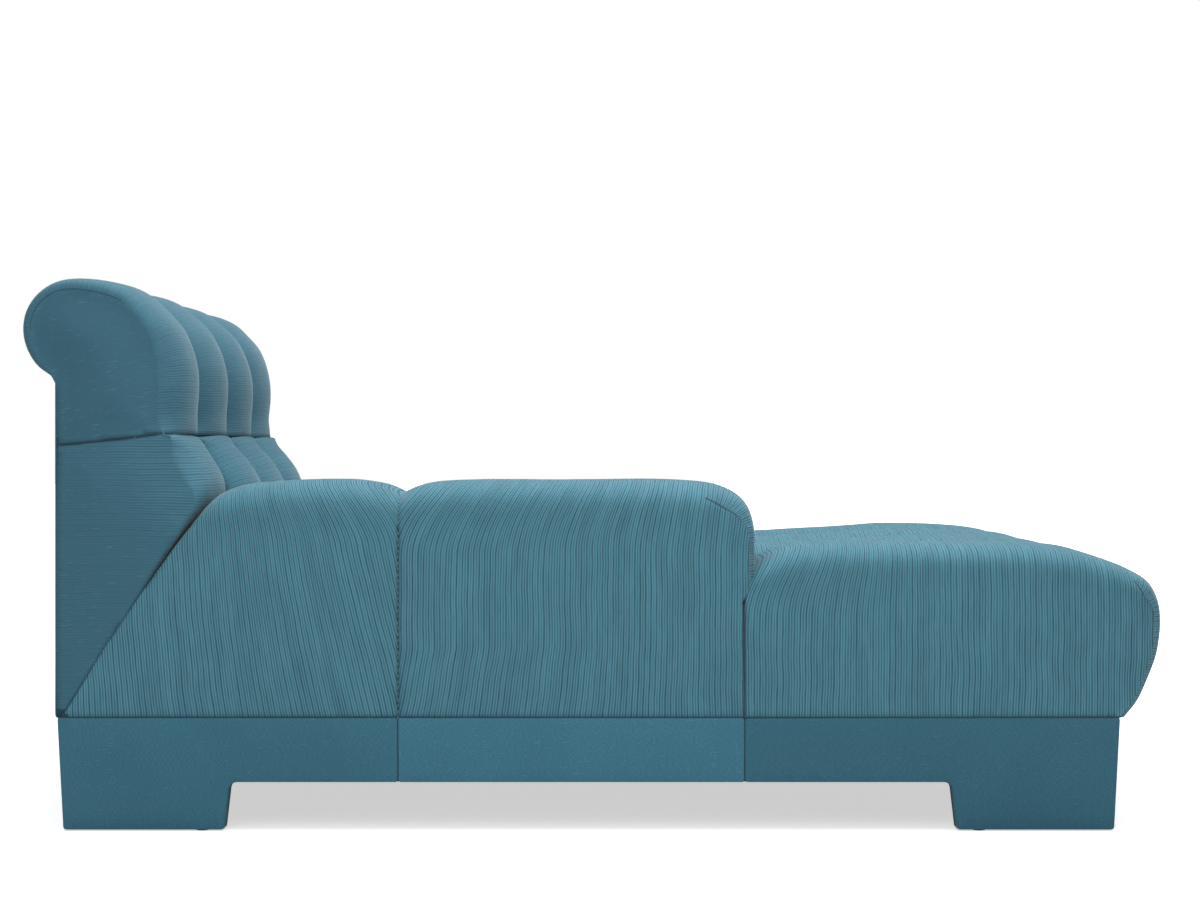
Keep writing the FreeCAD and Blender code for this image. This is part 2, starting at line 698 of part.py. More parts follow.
def spring_clip(x, y, side):
    """A bent clip on top of a rail that holds one end of a spring. It is open towards the seat."""
    half = CLIP_LENGTH / 2
    lip_z = SPRING_Z + SPRING_WIRE / 2
    top = lip_z + CLIP_THICKNESS
    base = box(x - half, x + half, y - half, y + half, RAIL_TOP_Z, RAIL_TOP_Z + CLIP_THICKNESS)
    lip = box(x - half, x + half, y - half, y + half, lip_z, top)
    bend = y + side * (half - CLIP_THICKNESS / 2)
    y0 = bend - CLIP_THICKNESS / 2
    wall = box(x - half, x + half, y0, y0 + CLIP_THICKNESS, RAIL_TOP_Z, top)
    return base.fuse([lip, wall]).removeSplitter()


def suspension():
    """The springs, the clips that hold them and the foam slab that lies on them."""
    rows = spring_rows()
    y = FRAME_HALF
    clips = []
    for x in rows:
        for side in (-1, 1):
            clips.append(spring_clip(x, side * (y - RAIL_THICKNESS / 2), side))
    slab = box(SEAT_FRAME_X, SEAT_FRAME_FRONT_X, -y, y, SLAB_Z, SLAB_TOP_Z)
    slab = slab.cut(arm_space(FRAME_CLEAR))
    slab = slab.cut(box(-WIDE, ARM_FRAME_FRONT_X, -WIDE, ARM_FRAME_INNER_Y, 0, TALL))
    return {
        "seat_springs": Part.makeCompound([zigzag(x) for x in rows]),
        "spring_clips": Part.makeCompound(clips),
        "seat_foam_base": slab,
    }


def bolt_shapes(radius):
    """The shanks of the bolts that join the seat frame to the back posts."""
    shanks = []
    for x, y, z in bolt_places():
        shanks.append(Part.makeCylinder(radius, BOLT_LENGTH, Vector(x, y, z), Vector(-1, 0, 0)))
    return Part.makeCompound(shanks)


def bolt_places():
    """The seats of the bolt heads, on the front face of the rear seat rail."""
    x = SEAT_FRAME_X + RAIL_THICKNESS
    reach = FRAME_HALF - RAIL_THICKNESS - BOLT_HEAD_RADIUS - BOLT_EDGE
    places = []
    for side in (-1, 1):
        for row in range(BOLTS_PER_POST):
            places.append((x, side * reach, PLINTH_Z + BOLT_FIRST + row * BOLT_PITCH))
    return places


def bolts():
    """Round-headed bolts through the rear seat rail into the back posts."""
    solids = []
    for x, y, z in bolt_places():
        shank = Part.makeCylinder(BOLT_RADIUS, BOLT_LENGTH, Vector(x, y, z), Vector(-1, 0, 0))
        head = Part.makeCylinder(BOLT_HEAD_RADIUS, BOLT_HEAD, Vector(x, y, z), Vector(1, 0, 0))
        solids.append(shank.fuse(head).removeSplitter())
    return Part.makeCompound(solids)


def back_frame():
    """The posts, rails, webbing, board and outside cover of the back."""
    x0 = BACK_FRAME_X
    x1 = BACK_FRAME_FRONT_X
    y = FRAME_HALF
    inner = y - POST_WIDTH
    top = BACK_FRAME_TOP_Z
    holes = bolt_shapes(BOLT_RADIUS + BOLT_CLEAR)
    webs = []
    half = WEB_WIDTH / 2
    spacing = 2 * inner / UPRIGHT_WEBS
    for web in range(UPRIGHT_WEBS):
        centre = -inner + spacing * (web + 0.5)
        low = centre - half
        webs.append(box(BACK_PAD_X - WEB_THICKNESS, BACK_PAD_X, low, low + WEB_WIDTH, SLAB_TOP_Z, top))
    rise = (top - SLAB_TOP_Z) / CROSS_WEBS
    for web in range(CROSS_WEBS):
        centre = SLAB_TOP_Z + rise * (web + 0.5)
        webs.append(box(x1, x1 + WEB_THICKNESS, -y, y, centre - half, centre + half))
    cloth_y = HALF_WIDTH - BACK_SIDE_DRAW / 2
    cloth_top = notch_z() - PAD_GAP
    cloth_x = BACK_X + OUTSIDE_BACK
    return {
        "back_post_arm_side": box(x0, x1, -y, -inner, PLINTH_Z, top).cut(holes),
        "back_post_open_side": box(x0, x1, inner, y, PLINTH_Z, top).cut(holes),
        "back_top_rail": box(x0, x1, -inner, inner, top - BACK_RAIL_HEIGHT, top),
        "back_lower_rail": box(x0, x1, -inner, inner, BACK_RAIL_Z, BACK_RAIL_Z + BACK_RAIL_HEIGHT),
        "back_webbing": Part.makeCompound(webs),
        "back_board": box(BOARD_X, BOARD_X + BACK_BOARD, -y, y, PLINTH_Z, top),
        "back_outside_cover": box(BACK_X, cloth_x, -cloth_y, cloth_y, PAD_BOTTOM_Z, cloth_top),
    }


def arm_frame():
    """The boxed frame inside the arm: two panels, a top board and a front board."""
    outer = ARM_FRAME_OUTER_Y
    inner = ARM_FRAME_INNER_Y
    t = ARM_PANEL
    front = ARM_FRAME_FRONT_X
    under_top = ARM_FRAME_TOP_Z - t
    rear_top = BACK_X + ARM_FRAME_REAR_TOP
    slope = (rear_top - BACK_FRAME_FRONT_X) / (ARM_FRAME_TOP_Z - ARM_FRAME_REAR_Z)
    def rear_at(z):
        return BACK_FRAME_FRONT_X + slope * (z - ARM_FRAME_REAR_Z)
    def panel(bottom, y0, y1):
        rear = [(rear_at(bottom), bottom), (rear_at(under_top), under_top)]
        outline = rear + [(front, under_top), (front, bottom)]
        return prism(outline, y0, y1)
    return {
        "arm_outer_panel": panel(RAIL_TOP_Z, outer, outer + t).cut(clip_room()),
        "arm_inner_panel": panel(SLAB_Z, inner - t, inner),
        "arm_top_board": box(rear_top, front, outer, inner, under_top, ARM_FRAME_TOP_Z),
        "arm_front_board": box(front - t, front, outer + t, inner - t, SLAB_Z, under_top),
    }


def clip_room():
    """Notches in the foot of the outer arm panel, where the springs and their clips pass under it."""
    half = (SPRING_STRAIGHT + spring_pitch() + SPRING_WIRE) / 2 + FRAME_CLEAR
    top = SLAB_Z + FRAME_CLEAR
    return Part.makeCompound([box(x - half, x + half, -WIDE, WIDE, 0, top) for x in spring_rows()])


def main():
    """Write each piece to its own file."""
    os.makedirs("parts", exist_ok=True)
    pieces = {}
    for make in (plinth, seat_frame, suspension, back_frame, arm_frame, seat_pads, back_pads, arm_pads):
        pieces.update(make())
    pieces["back_bolts"] = bolts()
    for name, shape in pieces.items():
        shape.exportStep(f"parts/{name}.step")


main()
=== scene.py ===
"""The looks of a one-armed, channel-padded chaise longue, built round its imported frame.

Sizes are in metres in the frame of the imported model: +X to the foot end, +Y away from the arm, +Z up.
Side views are written in millimetres and turned into metres where they are read.
"""

import logging
import math
from dataclasses import dataclass, field
from enum import Enum
from typing import Any, Callable, Iterable, Optional, Sequence

import bmesh
import bpy
import numpy as np
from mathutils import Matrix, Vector, noise
from mathutils.geometry import delaunay_2d_cdt


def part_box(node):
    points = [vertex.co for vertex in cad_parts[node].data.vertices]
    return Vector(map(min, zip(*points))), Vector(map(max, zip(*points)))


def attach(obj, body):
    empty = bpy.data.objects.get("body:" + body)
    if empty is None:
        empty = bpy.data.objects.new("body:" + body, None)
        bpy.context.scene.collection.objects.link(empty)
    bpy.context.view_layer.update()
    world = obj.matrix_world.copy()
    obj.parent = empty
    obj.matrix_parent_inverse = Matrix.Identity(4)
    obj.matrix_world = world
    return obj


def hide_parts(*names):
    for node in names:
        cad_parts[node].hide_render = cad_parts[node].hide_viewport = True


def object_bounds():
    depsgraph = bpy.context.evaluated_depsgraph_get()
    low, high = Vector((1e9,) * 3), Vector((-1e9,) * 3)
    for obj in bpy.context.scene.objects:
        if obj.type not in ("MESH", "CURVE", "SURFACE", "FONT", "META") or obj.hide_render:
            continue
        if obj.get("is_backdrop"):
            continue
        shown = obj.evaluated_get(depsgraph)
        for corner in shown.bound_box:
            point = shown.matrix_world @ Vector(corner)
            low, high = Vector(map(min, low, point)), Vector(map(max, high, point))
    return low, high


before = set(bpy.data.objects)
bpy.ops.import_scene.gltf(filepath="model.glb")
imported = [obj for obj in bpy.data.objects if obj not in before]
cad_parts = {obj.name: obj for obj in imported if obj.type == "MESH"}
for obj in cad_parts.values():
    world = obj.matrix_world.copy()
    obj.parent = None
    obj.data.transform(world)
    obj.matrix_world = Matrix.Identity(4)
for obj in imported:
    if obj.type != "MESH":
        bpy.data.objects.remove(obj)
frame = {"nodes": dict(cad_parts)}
CAD_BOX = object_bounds()
MM = 0.001
CHANNELS = (1, 2, 3, 4)
CHANNEL_GAP = 0.0001    # between neighbouring channels
PAD_LIFT = 0.0006       # from the plinth up to the padding
REAR_INSET = 0.0023     # from the outside back in to the padding's flat rear
CLOTH_UV = "cloth"
RIBBING = "ribbing"
CREASE = "crease"
# the point value of the painted light and shade on the plinth's panels
PAINTED_LIGHT_TONE = "tone"
WHITE = (1.0, 1.0, 1.0, 1.0)
SEED = 7
WAVE = (0.0016, 0.11)       # height and length of the slow unevenness of stuffing
RIPPLE = (0.0004, 0.035)    # the same of the quick one
SEWN_DIP = 0.0012           # how far a sewn line is drawn in
FREE_ROWS = 4               # how many rows in from its edges the crown moves freely
FREE_REACH = 0.03           # how far in from its edge a side panel does
SWELL_REACH = 0.05          # how far in from its edge a side panel is fully swollen
FADE_REACH = 0.07           # how far in from its front edge a side panel's ribs change
LEVEL_WAY = 60.0            # a crest that faces further up than this is a top
SAMPLES = 1200              # samples across a channel's shoulders
CLOSED_DART = 1e-5          # the share of the width outside a dart that has met the side
FAN_POWER = 1.7             # how late a fan of ribs opens on the way up
log = logging.getLogger("chaise")

Material = bpy.types.Material
Mesh = bpy.types.Mesh
Node = bpy.types.Node
Object = bpy.types.Object
Socket = bpy.types.NodeSocket
Tree = bpy.types.NodeTree
Place = Callable[[float, float, float], tuple]


class Edge(Enum):
    """What a pad meets at one side of its width."""

    SEAM = "a seam with the next channel"
    SIDE = "an open side of the piece"


class Ribs(Enum):
    """How the ribs of the cloth are counted on a pad."""

    LENGTH = "along the length, then round the front beyond a dart"
    ROUND = "round the crest, and up the height on a side panel"
    HEIGHT = "up the height everywhere"


@dataclass(frozen=True)
class Frame:
    """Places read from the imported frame."""

    back_x: float  # the outside back's rear
    nose_x: float  # the seat's front
    roll_x: float  # the rear of the back's roll
    split_x: float  # where the arm's two pads meet
    arm_front_x: float  # the rear of the first seat channel, at the arm's front
    seat_rear_x: float  # the rear of the other seat channels
    plinth_z: float  # the top of the plinth's boards
    seat_z: float  # the seat's top
    tuft_z: float  # the lower edge of the back's upper tier
    top_z: float  # the top of the back
    half: float  # half of the width

    @classmethod
    def read(cls) -> "Frame":
        """Measure the frame's own nodes.

        Returns:
            The places that the pads and covers are built from.
        """
        first_low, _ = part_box("seat_cover_channel_1")
        seat_low, seat_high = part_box("seat_cover_channel_2")
        _, last_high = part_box("seat_cover_channel_4")
        upper_low, upper_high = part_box("back_upper_cover_2")
        arm_low, arm_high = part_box("arm_cover_rear")
        outside_low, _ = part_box("back_outside_cover")
        _, board_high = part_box("plinth_panel_arm_side")
        return cls(
            back_x=outside_low.x,
            nose_x=seat_high.x,
            roll_x=upper_low.x,
            split_x=arm_high.x,
            arm_front_x=first_low.x,
            seat_rear_x=seat_low.x,
            plinth_z=board_high.z,
            seat_z=seat_high.z,
            tuft_z=upper_low.z,
            top_z=upper_high.z,
            half=(last_high.y - arm_low.y) / 2,
        )

    def span(self, number: int) -> tuple[float, float]:
        """The two sides of a channel, counted from 1 at the arm.

        Args:
            number: the channel.

        Returns:
            Its lower and its higher y.
        """
        pitch = self.half / 2
        low = -self.half + (number - 1) * pitch
        return low + CHANNEL_GAP / 2, low + pitch - CHANNEL_GAP / 2

    @property
    def pad_foot_z(self) -> float:
        """The height at which the padding starts."""
        return self.plinth_z + PAD_LIFT

    @property
    def pad_rear_x(self) -> float:
        """The flat rear of the back's padding."""
        return self.back_x + REAR_INSET


def edges(number: int) -> tuple[Edge, Edge]:
    """What a channel meets at its two sides."""
    low = Edge.SIDE if number == CHANNELS[0] else Edge.SEAM
    return low, Edge.SIDE if number == CHANNELS[-1] else Edge.SEAM


X, Z, WAY, SIDE_DRAW, SEAM_DRAW, RECESS, CREASE_AT = range(7)


@dataclass
class Point:
    """One point of a pad's side view."""

    x: float  # place along the length
    z: float  # height above the floor
    way: float = 90.0  # direction that faces out of the pad there, in degrees up from +X
    side: float = 0.0  # how far the cloth is drawn in at an open side
    seam: float = 0.0  # how far it is drawn in at a seam between channels
    recess: float = 0.0  # how far the edge of an open side panel lies in
    crease: float = 0.0  # 1 where a sewn line runs along the panel's edge, drawn in and painted with shade there, else 0

    def row(self) -> tuple[float, ...]:
        """Return the point's numbers in one row."""
        return self.x, self.z, self.way, self.side, self.seam, self.recess, self.crease


def side_view(rows: Sequence[Sequence[float]], x: float = 0.0, z: float = 0.0) -> list[Point]:
    """Read a side view from rows in millimetres.

    Args:
        rows: x and z, then the way in degrees, then draws and recess, then the crease.
        x: what the rows' x starts from, in metres.
        z: what the rows' z starts from, in metres.

    Returns:
        The points, in metres.
    """
    points = []
    for given in rows:
        full = list(given) + [90.0, 0.0, 0.0, 0.0, 0.0][len(given) - 2:]
        dx, dz, way, side, seam, recess, crease = full
        points.append(Point(x + dx * MM, z + dz * MM, way, side * MM, seam * MM, recess * MM, crease))
    return points


def clamped(value: float) -> float:
    """A value held between 0 and 1."""
    return min(1.0, max(0.0, value))


def smooth_step(value: float, low: float, high: float) -> float:
    """A smooth step from 0 at low to 1 at high."""
    share = clamped((value - low) / (high - low))
    return share * share * (3 - 2 * share)


def arc_length(rows: np.ndarray) -> np.ndarray:
    """How far along a polyline each of its rows lies."""
    return np.concatenate([[0], np.cumsum(np.linalg.norm(np.diff(rows[:, :2], axis=0), axis=1))])


def run_on(stops: Sequence[np.ndarray], counts: Sequence[int]) -> np.ndarray:
    """The rows between the first stop and the last one, with so many rows in each run."""
    runs = zip(stops[:-1], stops[1:], counts)
    return np.vstack([a + (b - a) * np.arange(count)[:, None] / count for a, b, count in runs])[1:]


def even_rows(rows: np.ndarray, step: float) -> np.ndarray:
    """Resample a polyline at an even step.

    Args:
        rows: its rows, x and z first.
        step: the wanted distance from row to row.

    Returns:
        Rows with the same columns.
    """
    length = arc_length(rows)
    at = np.linspace(0, length[-1], max(2, int(round(length[-1] / step)) + 1))
    return np.column_stack([np.interp(at, length, rows[:, k]) for k in range(rows.shape[1])])


def smooth_rows(points: Sequence[Point], step: float) -> np.ndarray:
    """Draw a centripetal curve through points and resample it.

    Args:
        points: the points that the curve passes through.
        step: the wanted distance from row to row.

    Returns:
        Rows in the order of Point.row.
    """
    rows = np.array([p.row() for p in points])
    ends = np.vstack([2 * rows[0] - rows[1], rows, 2 * rows[-1] - rows[-2]])
    dense = []
    for i in range(1, len(ends) - 2):
        a, b, c, d = ends[i - 1:i + 3]
        gap = [max(float(np.linalg.norm(q[:2] - p[:2])), 1e-6) ** 0.5 for p, q in ((a, b), (b, c), (c, d))]
        t1 = gap[0]
        t2 = t1 + gap[1]
        t3 = t2 + gap[2]
        for t in np.linspace(t1, t2, 24, endpoint=False):
            ab = (t1 - t) / t1 * a + t / t1 * b
            bc = (t2 - t) / (t2 - t1) * b + (t - t1) / (t2 - t1) * c
            cd = (t3 - t) / (t3 - t2) * c + (t - t2) / (t3 - t2) * d
            abc = (t2 - t) / t2 * ab + t / t2 * bc
            bcd = (t3 - t) / (t3 - t1) * bc + (t - t1) / (t3 - t1) * cd
            dense.append((t2 - t) / (t2 - t1) * abc + (t - t1) / (t2 - t1) * bcd)
    result = even_rows(np.vstack([dense, rows[-1:]]), step)
    result[:, SIDE_DRAW:] = np.maximum(result[:, SIDE_DRAW:], 0)
    return result


def left_in(share: float, power: float) -> float:
    """The part of the full draw-in at a share of a channel's width: 1 at its edges, 0 on its crest."""
    return 1 - (1 - abs(2 * share - 1) ** power) ** (1 / power)


def inside(points: np.ndarray, ring: np.ndarray) -> np.ndarray:
    """Which of many points lie inside a closed outline.

    Args:
        points: places in the outline's plane.
        ring: the outline's corners in order.

    Returns:
        Whether each point does.
    """
    x, z = points[:, :1], points[:, 1:]
    x0, z0 = ring[:, 0][None], ring[:, 1][None]
    x1, z1 = np.roll(x0, -1), np.roll(z0, -1)
    rise = np.where(np.abs(z1 - z0) < 1e-12, 1e-12, z1 - z0)
    hits = ((z0 > z) != (z1 > z)) & (x0 + (z - z0) / rise * (x1 - x0) > x)
    return hits.sum(1) % 2 == 1


def to_border(points: np.ndarray, ring: np.ndarray) -> tuple[np.ndarray, np.ndarray]:
    """Measure many points against a closed outline.

    Args:
        points: places in the outline's plane.
        ring: the outline's corners in order.

    Returns:
        The distance from each point to the outline, and the outline's nearest corner.
    """
    to = np.roll(ring, -1, axis=0) - ring
    square = np.maximum((to * to).sum(1), 1e-12)
    off = points[:, None] - ring[None]
    along = np.clip((off * to[None]).sum(2) / square[None], 0, 1)
    gap = np.linalg.norm(off - along[..., None] * to[None], axis=2)
    best = gap.argmin(1)
    share = along[np.arange(len(points)), best]
    return gap.min(1), np.where(share > 0.5, (best + 1) % len(ring), best)


def fill_outline(ring: np.ndarray, step: float) -> tuple[np.ndarray, list[list[int]]]:
    """Cover a closed outline with triangles of an even size.

    Args:
        ring: the outline's corners in order.
        step: the wanted length of a triangle's side.

    Returns:
        The points, the outline's own first, and the triangles.
    """
    low, high = ring.min(0), ring.max(0)
    lines = []
    for row, z in enumerate(np.arange(low[1] + step / 2, high[1], step * 0.866)):
        x = np.arange(low[0] + step / 2, high[0], step) + (step / 2 if row % 2 else 0)
        lines.append(np.column_stack([x, np.full(len(x), z)]))
    inner = np.vstack(lines)
    inner = inner[inside(inner, ring)]
    if len(inner):
        inner = inner[to_border(inner, ring)[0] > 0.55 * step]
    points = np.vstack([ring, inner])
    n = len(ring)
    border = [(i, (i + 1) % n) for i in range(n)]
    places = [Vector((float(p[0]), float(p[1]))) for p in points]
    made, _, cells, origins, _, _ = delaunay_2d_cdt(places, border, [], 1, 1e-7)
    if any(not old for old in origins):
        at = [tuple(round(c, 4) for c in made[i]) for i, old in enumerate(origins) if not old]
        raise ValueError(f"the outline crosses itself at {at[:4]}")
    return points, [[origins[i][0] for i in cell] for cell in cells]


def add_object(name: str, data: Any) -> Object:
    """Put an object into the scene, at the origin.

    Args:
        name: its name.
        data: its mesh, camera or light.

    Returns:
        The object.
    """
    obj = bpy.data.objects.new(name, data)
    bpy.context.collection.objects.link(obj)
    return obj


def make_object(name: str, verts: Iterable, faces: list, uvs: Optional[list] = None) -> Object:
    """Make an object of points and faces, with its faces turned outwards.

    Args:
        name: the piece's name.
        verts: its points.
        faces: its faces.
        uvs: the cloth coordinates of each face's corners, if it has any.

    Returns:
        The object, at the origin.
    """
    mesh = bpy.data.meshes.new(name)
    mesh.from_pydata([tuple(map(float, v)) for v in verts], [], faces)
    if uvs is not None:
        layer = mesh.uv_layers.new(name=CLOTH_UV)
        layer.data.foreach_set("uv", np.array([c for face in uvs for c in face], np.float32).ravel())
    work = bmesh.new()
    work.from_mesh(mesh)
    bmesh.ops.recalc_face_normals(work, faces=work.faces)
    work.to_mesh(mesh)
    work.free()
    mesh.shade_smooth()
    return add_object(name, mesh)


def add_point_values(mesh: Mesh, name: str, values: Sequence[float]) -> None:
    """Store one number for each point of a mesh."""
    layer = mesh.attributes.new(name, "FLOAT", "POINT")
    layer.data.foreach_set("value", np.asarray(values, np.float32))


def finish_piece(obj: Object, material: Material, nodes: Sequence[str] = ()) -> None:
    """Give a piece its material and body, and hide the frame's nodes that it stands for.

    Args:
        obj: the piece.
        material: its material.
        nodes: the frame's nodes that it replaces.
    """
    obj.data.materials.clear()
    obj.data.materials.append(material)
    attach(obj, "root")
    if nodes:
        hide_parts(*nodes)
    log.info("%s: %d faces, %s", obj.name, len(obj.data.polygons), material.name)


@dataclass
class Pad:
    """A stuffed channel: cloth over its crown, closed by a panel at each side."""

    name: str  # the piece's name
    nodes: tuple[str, ...]  # the frame's nodes that it stands for
    crest: list[Point]  # the side view of its crown
    closing: list[Point]  # the corners of the rest of its outline
    span: tuple[float, float]  # its two sides
    low: Edge  # what it meets at the side nearer the arm
    high: Edge  # what it meets at its other side
    ribs: Ribs = Ribs.ROUND  # how the cloth's ribs are counted
    # the x at which a front dart starts, and the x at which it meets the panel's edge
    dart: Optional[tuple[float, float]] = None
    lean: Optional[Callable[[float, float], float]] = None  # how far the ribs lean from upright at a place
    side_ribbing: float = 1.0  # how strongly the ribs show on an open side panel, from 0 to 1
    edge_ribbing: float = 1.0  # the same close to the panel's front edge
    slope: float = 0.0  # how fast the threads of a side panel rise along the length
    puff: float = 0.004  # how far an open side panel swells
    recess_reach: float = 0.015  # how far in from its edge a side panel's recess fades
    fill: float = 0.85  # how tightly it is stuffed
    front_power: float = 3.2  # how tight its shoulder is where the crest faces forwards
    side_power: float = 3.2  # how tight its shoulder is at an open side
    seam_power: float = 2.2  # how tight it turns down into a seam
    step: float = 0.008  # the distance between rows of the mesh
    columns: int = 40  # how many strips of faces lie across its width
    dart_column: int = 5  # the column that follows a dart, counted from the open side
    crown_ribbing: float = 1.0  # how strongly the ribs show on the crown
    crest_rows: int = 0  # how many of the outline's rows are the crown
    # the outline, in the order of Point.row
    rows: np.ndarray = field(default_factory=lambda: np.zeros((0, 7)))
    # the points of the crown and the hidden rest, by column and row
    places: np.ndarray = field(default_factory=lambda: np.zeros((0, 0, 3)))
    give: list[float] = field(default_factory=list)  # how freely each point moves when the cloth settles
    obj: Optional[Object] = None  # the finished piece

    def trace(self) -> tuple[np.ndarray, list[int]]:
        """Sample the closed side view.

        Returns:
            Its rows, of which the first crest_rows are the crown, and how many rows each closing run has.
        """
        crest = smooth_rows(self.crest, self.step)
        self.crest_rows = len(crest)
        stops = [crest[-1]] + [np.array(p.row()) for p in self.closing] + [crest[0]]
        gaps = [np.linalg.norm((b - a)[:2]) for a, b in zip(stops[:-1], stops[1:])]
        counts = [max(1, int(gap / (1.5 * self.step))) for gap in gaps]
        return np.vstack([crest, run_on(stops, counts)]), counts

    def shares(self) -> np.ndarray:
        """Place the mesh's columns across the width, evenly along the cloth.

        Returns:
            An array of columns by rows, from 0 at the low side to 1 at the high one.
        """
        width = self.span[1] - self.span[0]
        dense = (1 - np.cos(np.pi * np.arange(SAMPLES + 1) / SAMPLES)) / 2
        height = np.zeros(len(dense))
        for i, share in enumerate(dense):
            column, power = self.edge_at(share)
            height[i] = -self.rows[:, column].max() * left_in(share, power)
        arc = np.concatenate([[0], np.cumsum(np.hypot(np.diff(dense) * width, np.diff(height)))])
        even = np.interp(np.linspace(0, arc[-1], self.columns + 1), arc, dense)
        result = np.repeat(even[:, None], len(self.rows), axis=1)
        if self.dart is None:
            return result
        follow = np.array([self.dart_share(i, even[self.dart_column]) for i in range(len(self.rows))])
        k, half = self.dart_column, self.columns // 2
        for edge, turn in ((self.low, 1), (self.high, -1)):
            if edge is Edge.SEAM:
                continue
            near = even if turn == 1 else (1 - even)[::-1]
            side = np.empty((half, len(self.rows)))
            side[:k + 1] = near[:k + 1, None] * follow[None] / near[k]
            spread = (0.5 - follow) / (0.5 - near[k])
            side[k + 1:] = follow[None] + (near[k + 1:half, None] - near[k]) * spread[None]
            if turn == 1:
                result[:half] = side
            else:
                result[self.columns + 1 - half:] = 1 - side[::-1]
        return result

    def edge_at(self, share: float) -> tuple[int, float]:
        """The draw's column and the power of the shoulder on a share's side of the crest."""
        edge = self.low if share < 0.5 else self.high
        return (SIDE_DRAW, self.side_power) if edge is Edge.SIDE else (SEAM_DRAW, self.seam_power)

    def powers(self, column: int, power: float) -> np.ndarray:
        """The power of the shoulder at each row, which changes where an open side faces forwards.

        Args:
            column: the draw's column.
            power: the shoulder's power where it doesn't.

        Returns:
            One power for each row.
        """
        if column == SEAM_DRAW:
            return np.full(len(self.rows), power)
        facing = np.clip(np.cos(np.radians(self.rows[:, WAY])), 0, 1)
        return power + (self.front_power - power) * facing

    def dart_share(self, row: int, start: float) -> float:
        """How far from the open side the dart's column lies at a row, as a share of the width.

        Args:
            row: the row.
            start: the column's share before the dart.

        Returns:
            The share.
        """
        first, last = self.dart_rows()
        if row >= self.crest_rows:
            back = (row - self.crest_rows) / (len(self.rows) - self.crest_rows)
            return CLOSED_DART + (start - CLOSED_DART) * back
        along = clamped((row - first) / (last - first))
        power = float(self.powers(SIDE_DRAW, self.side_power)[row])
        level = left_in(start, power)
        level += (1 - level) * along
        return max(CLOSED_DART, (1 - (1 - (1 - level) ** power) ** (1 / power)) / 2)

    def dart_rows(self) -> tuple[int, int]:
        """The rows at which the dart starts and meets the side, or the crown's end where it has none.

        Returns:
            Both rows.
        """
        if self.dart is None:
            return self.crest_rows, self.crest_rows
        x = self.rows[:self.crest_rows, X]
        return int(np.argmax(x > self.dart[0])), int(np.argmax(x > self.dart[1]))

    def lay_out(self, counts: list[int]) -> np.ndarray:
        """Place the points of the crown and of the hidden rest.

        Args:
            counts: how many rows each closing run has.

        Returns:
            An array of columns by rows by three.
        """
        rows, n = self.rows, self.crest_rows
        crown = rows[:n]
        way = np.radians(crown[:, WAY])
        y_low, y_high = self.span
        shares = self.shares()
        places = np.zeros((self.columns + 1, len(rows), 3))
        corners = np.array([(p.x, p.z) for p in self.closing])
        for j in range(self.columns + 1):
            share = shares[j]
            low_side = share[0] < 0.5
            column, power = self.edge_at(share[0])
            powers = self.powers(column, power)
            inward = crown[:, column] * np.array([left_in(s, q) for s, q in zip(share[:n], powers)])
            top = np.column_stack([crown[:, X] - np.cos(way) * inward, crown[:, Z] - np.sin(way) * inward])
            stops = np.vstack([top[-1:], corners, top[:1]])
            flat = np.vstack([top, run_on(stops, counts)])
            from_edge = np.minimum(share, 1 - share) * (y_high - y_low)
            tuck = rows[:, RECESS] * np.exp(-((from_edge / self.recess_reach) ** 2))
            turn = 0.0 if column == SEAM_DRAW else (1.0 if low_side else -1.0)
            places[j, :, 0] = flat[:, 0]
            places[j, :, 1] = y_low + (y_high - y_low) * share + turn * tuck
            places[j, :, 2] = flat[:, 1]
        return places

    def rib_place(self, x: float, z: float) -> float:
        """The rib count, in metres, at a place whose ribs stand upright."""
        return x - (self.lean(x, z) if self.lean else 0.0)

    def make(self, cloth: Material) -> None:
        """Build the pad and dress it.

        Args:
            cloth: the upholstery cloth.
        """
        self.build()
        finish_piece(self.obj, cloth, self.nodes)

    def build(self) -> None:
        """Make the closed mesh with its cloth coordinates and point values."""
        self.rows, counts = self.trace()
        self.places = self.lay_out(counts)
        n = len(self.rows)
        verts = [tuple(p) for p in self.places.reshape(-1, 3)]
        values = {RIBBING: [self.crown_ribbing] * len(verts), CREASE: [0.0] * len(verts)}
        self.mark_creases(values[CREASE])
        self.give = self.crown_give()
        faces, uvs = self.strip()
        for first, edge in ((0, self.low), (self.columns * n, self.high)):
            if edge is Edge.SEAM:
                faces.append(tuple(range(first, first + n)))
                uvs.append(tuple((verts[i][0], verts[i][2]) for i in range(first, first + n)))
            else:
                self.side_panel(verts, faces, uvs, values, first)
        self.obj = make_object(self.name, verts, faces, uvs)
        for key, numbers in values.items():
            add_point_values(self.obj.data, key, numbers)
        self.settle()

    def mark_creases(self, crease: list[float]) -> None:
        """Mark the points that lie on darts and on the seams between channels, which are drawn in and
        painted with shade.

        Args:
            crease: one number for each point, written to.
        """
        n = len(self.rows)
        first, _ = self.dart_rows()
        for edge, column, way in ((self.low, 0, 1), (self.high, self.columns, -1)):
            for i in range(self.crest_rows):
                if edge is Edge.SEAM:
                    crease[column * n + i] = 1.0
                elif i >= first:
                    crease[(column + way * self.dart_column) * n + i] = 1.0

    def crown_give(self) -> list[float]:
        """How freely each point of the crown moves: 0 at its edges and on the hidden rest, 1 inside.

        Returns:
            One number for each point of the columns.
        """
        result = np.zeros((self.columns + 1, len(self.rows)))
        for j in range(1, self.columns):
            across = min(1.0, min(j, self.columns - j) / FREE_ROWS)
            for i in range(1, self.crest_rows - 1):
                result[j, i] = across * min(1.0, min(i, self.crest_rows - 1 - i) / FREE_ROWS)
        return list(result.ravel())

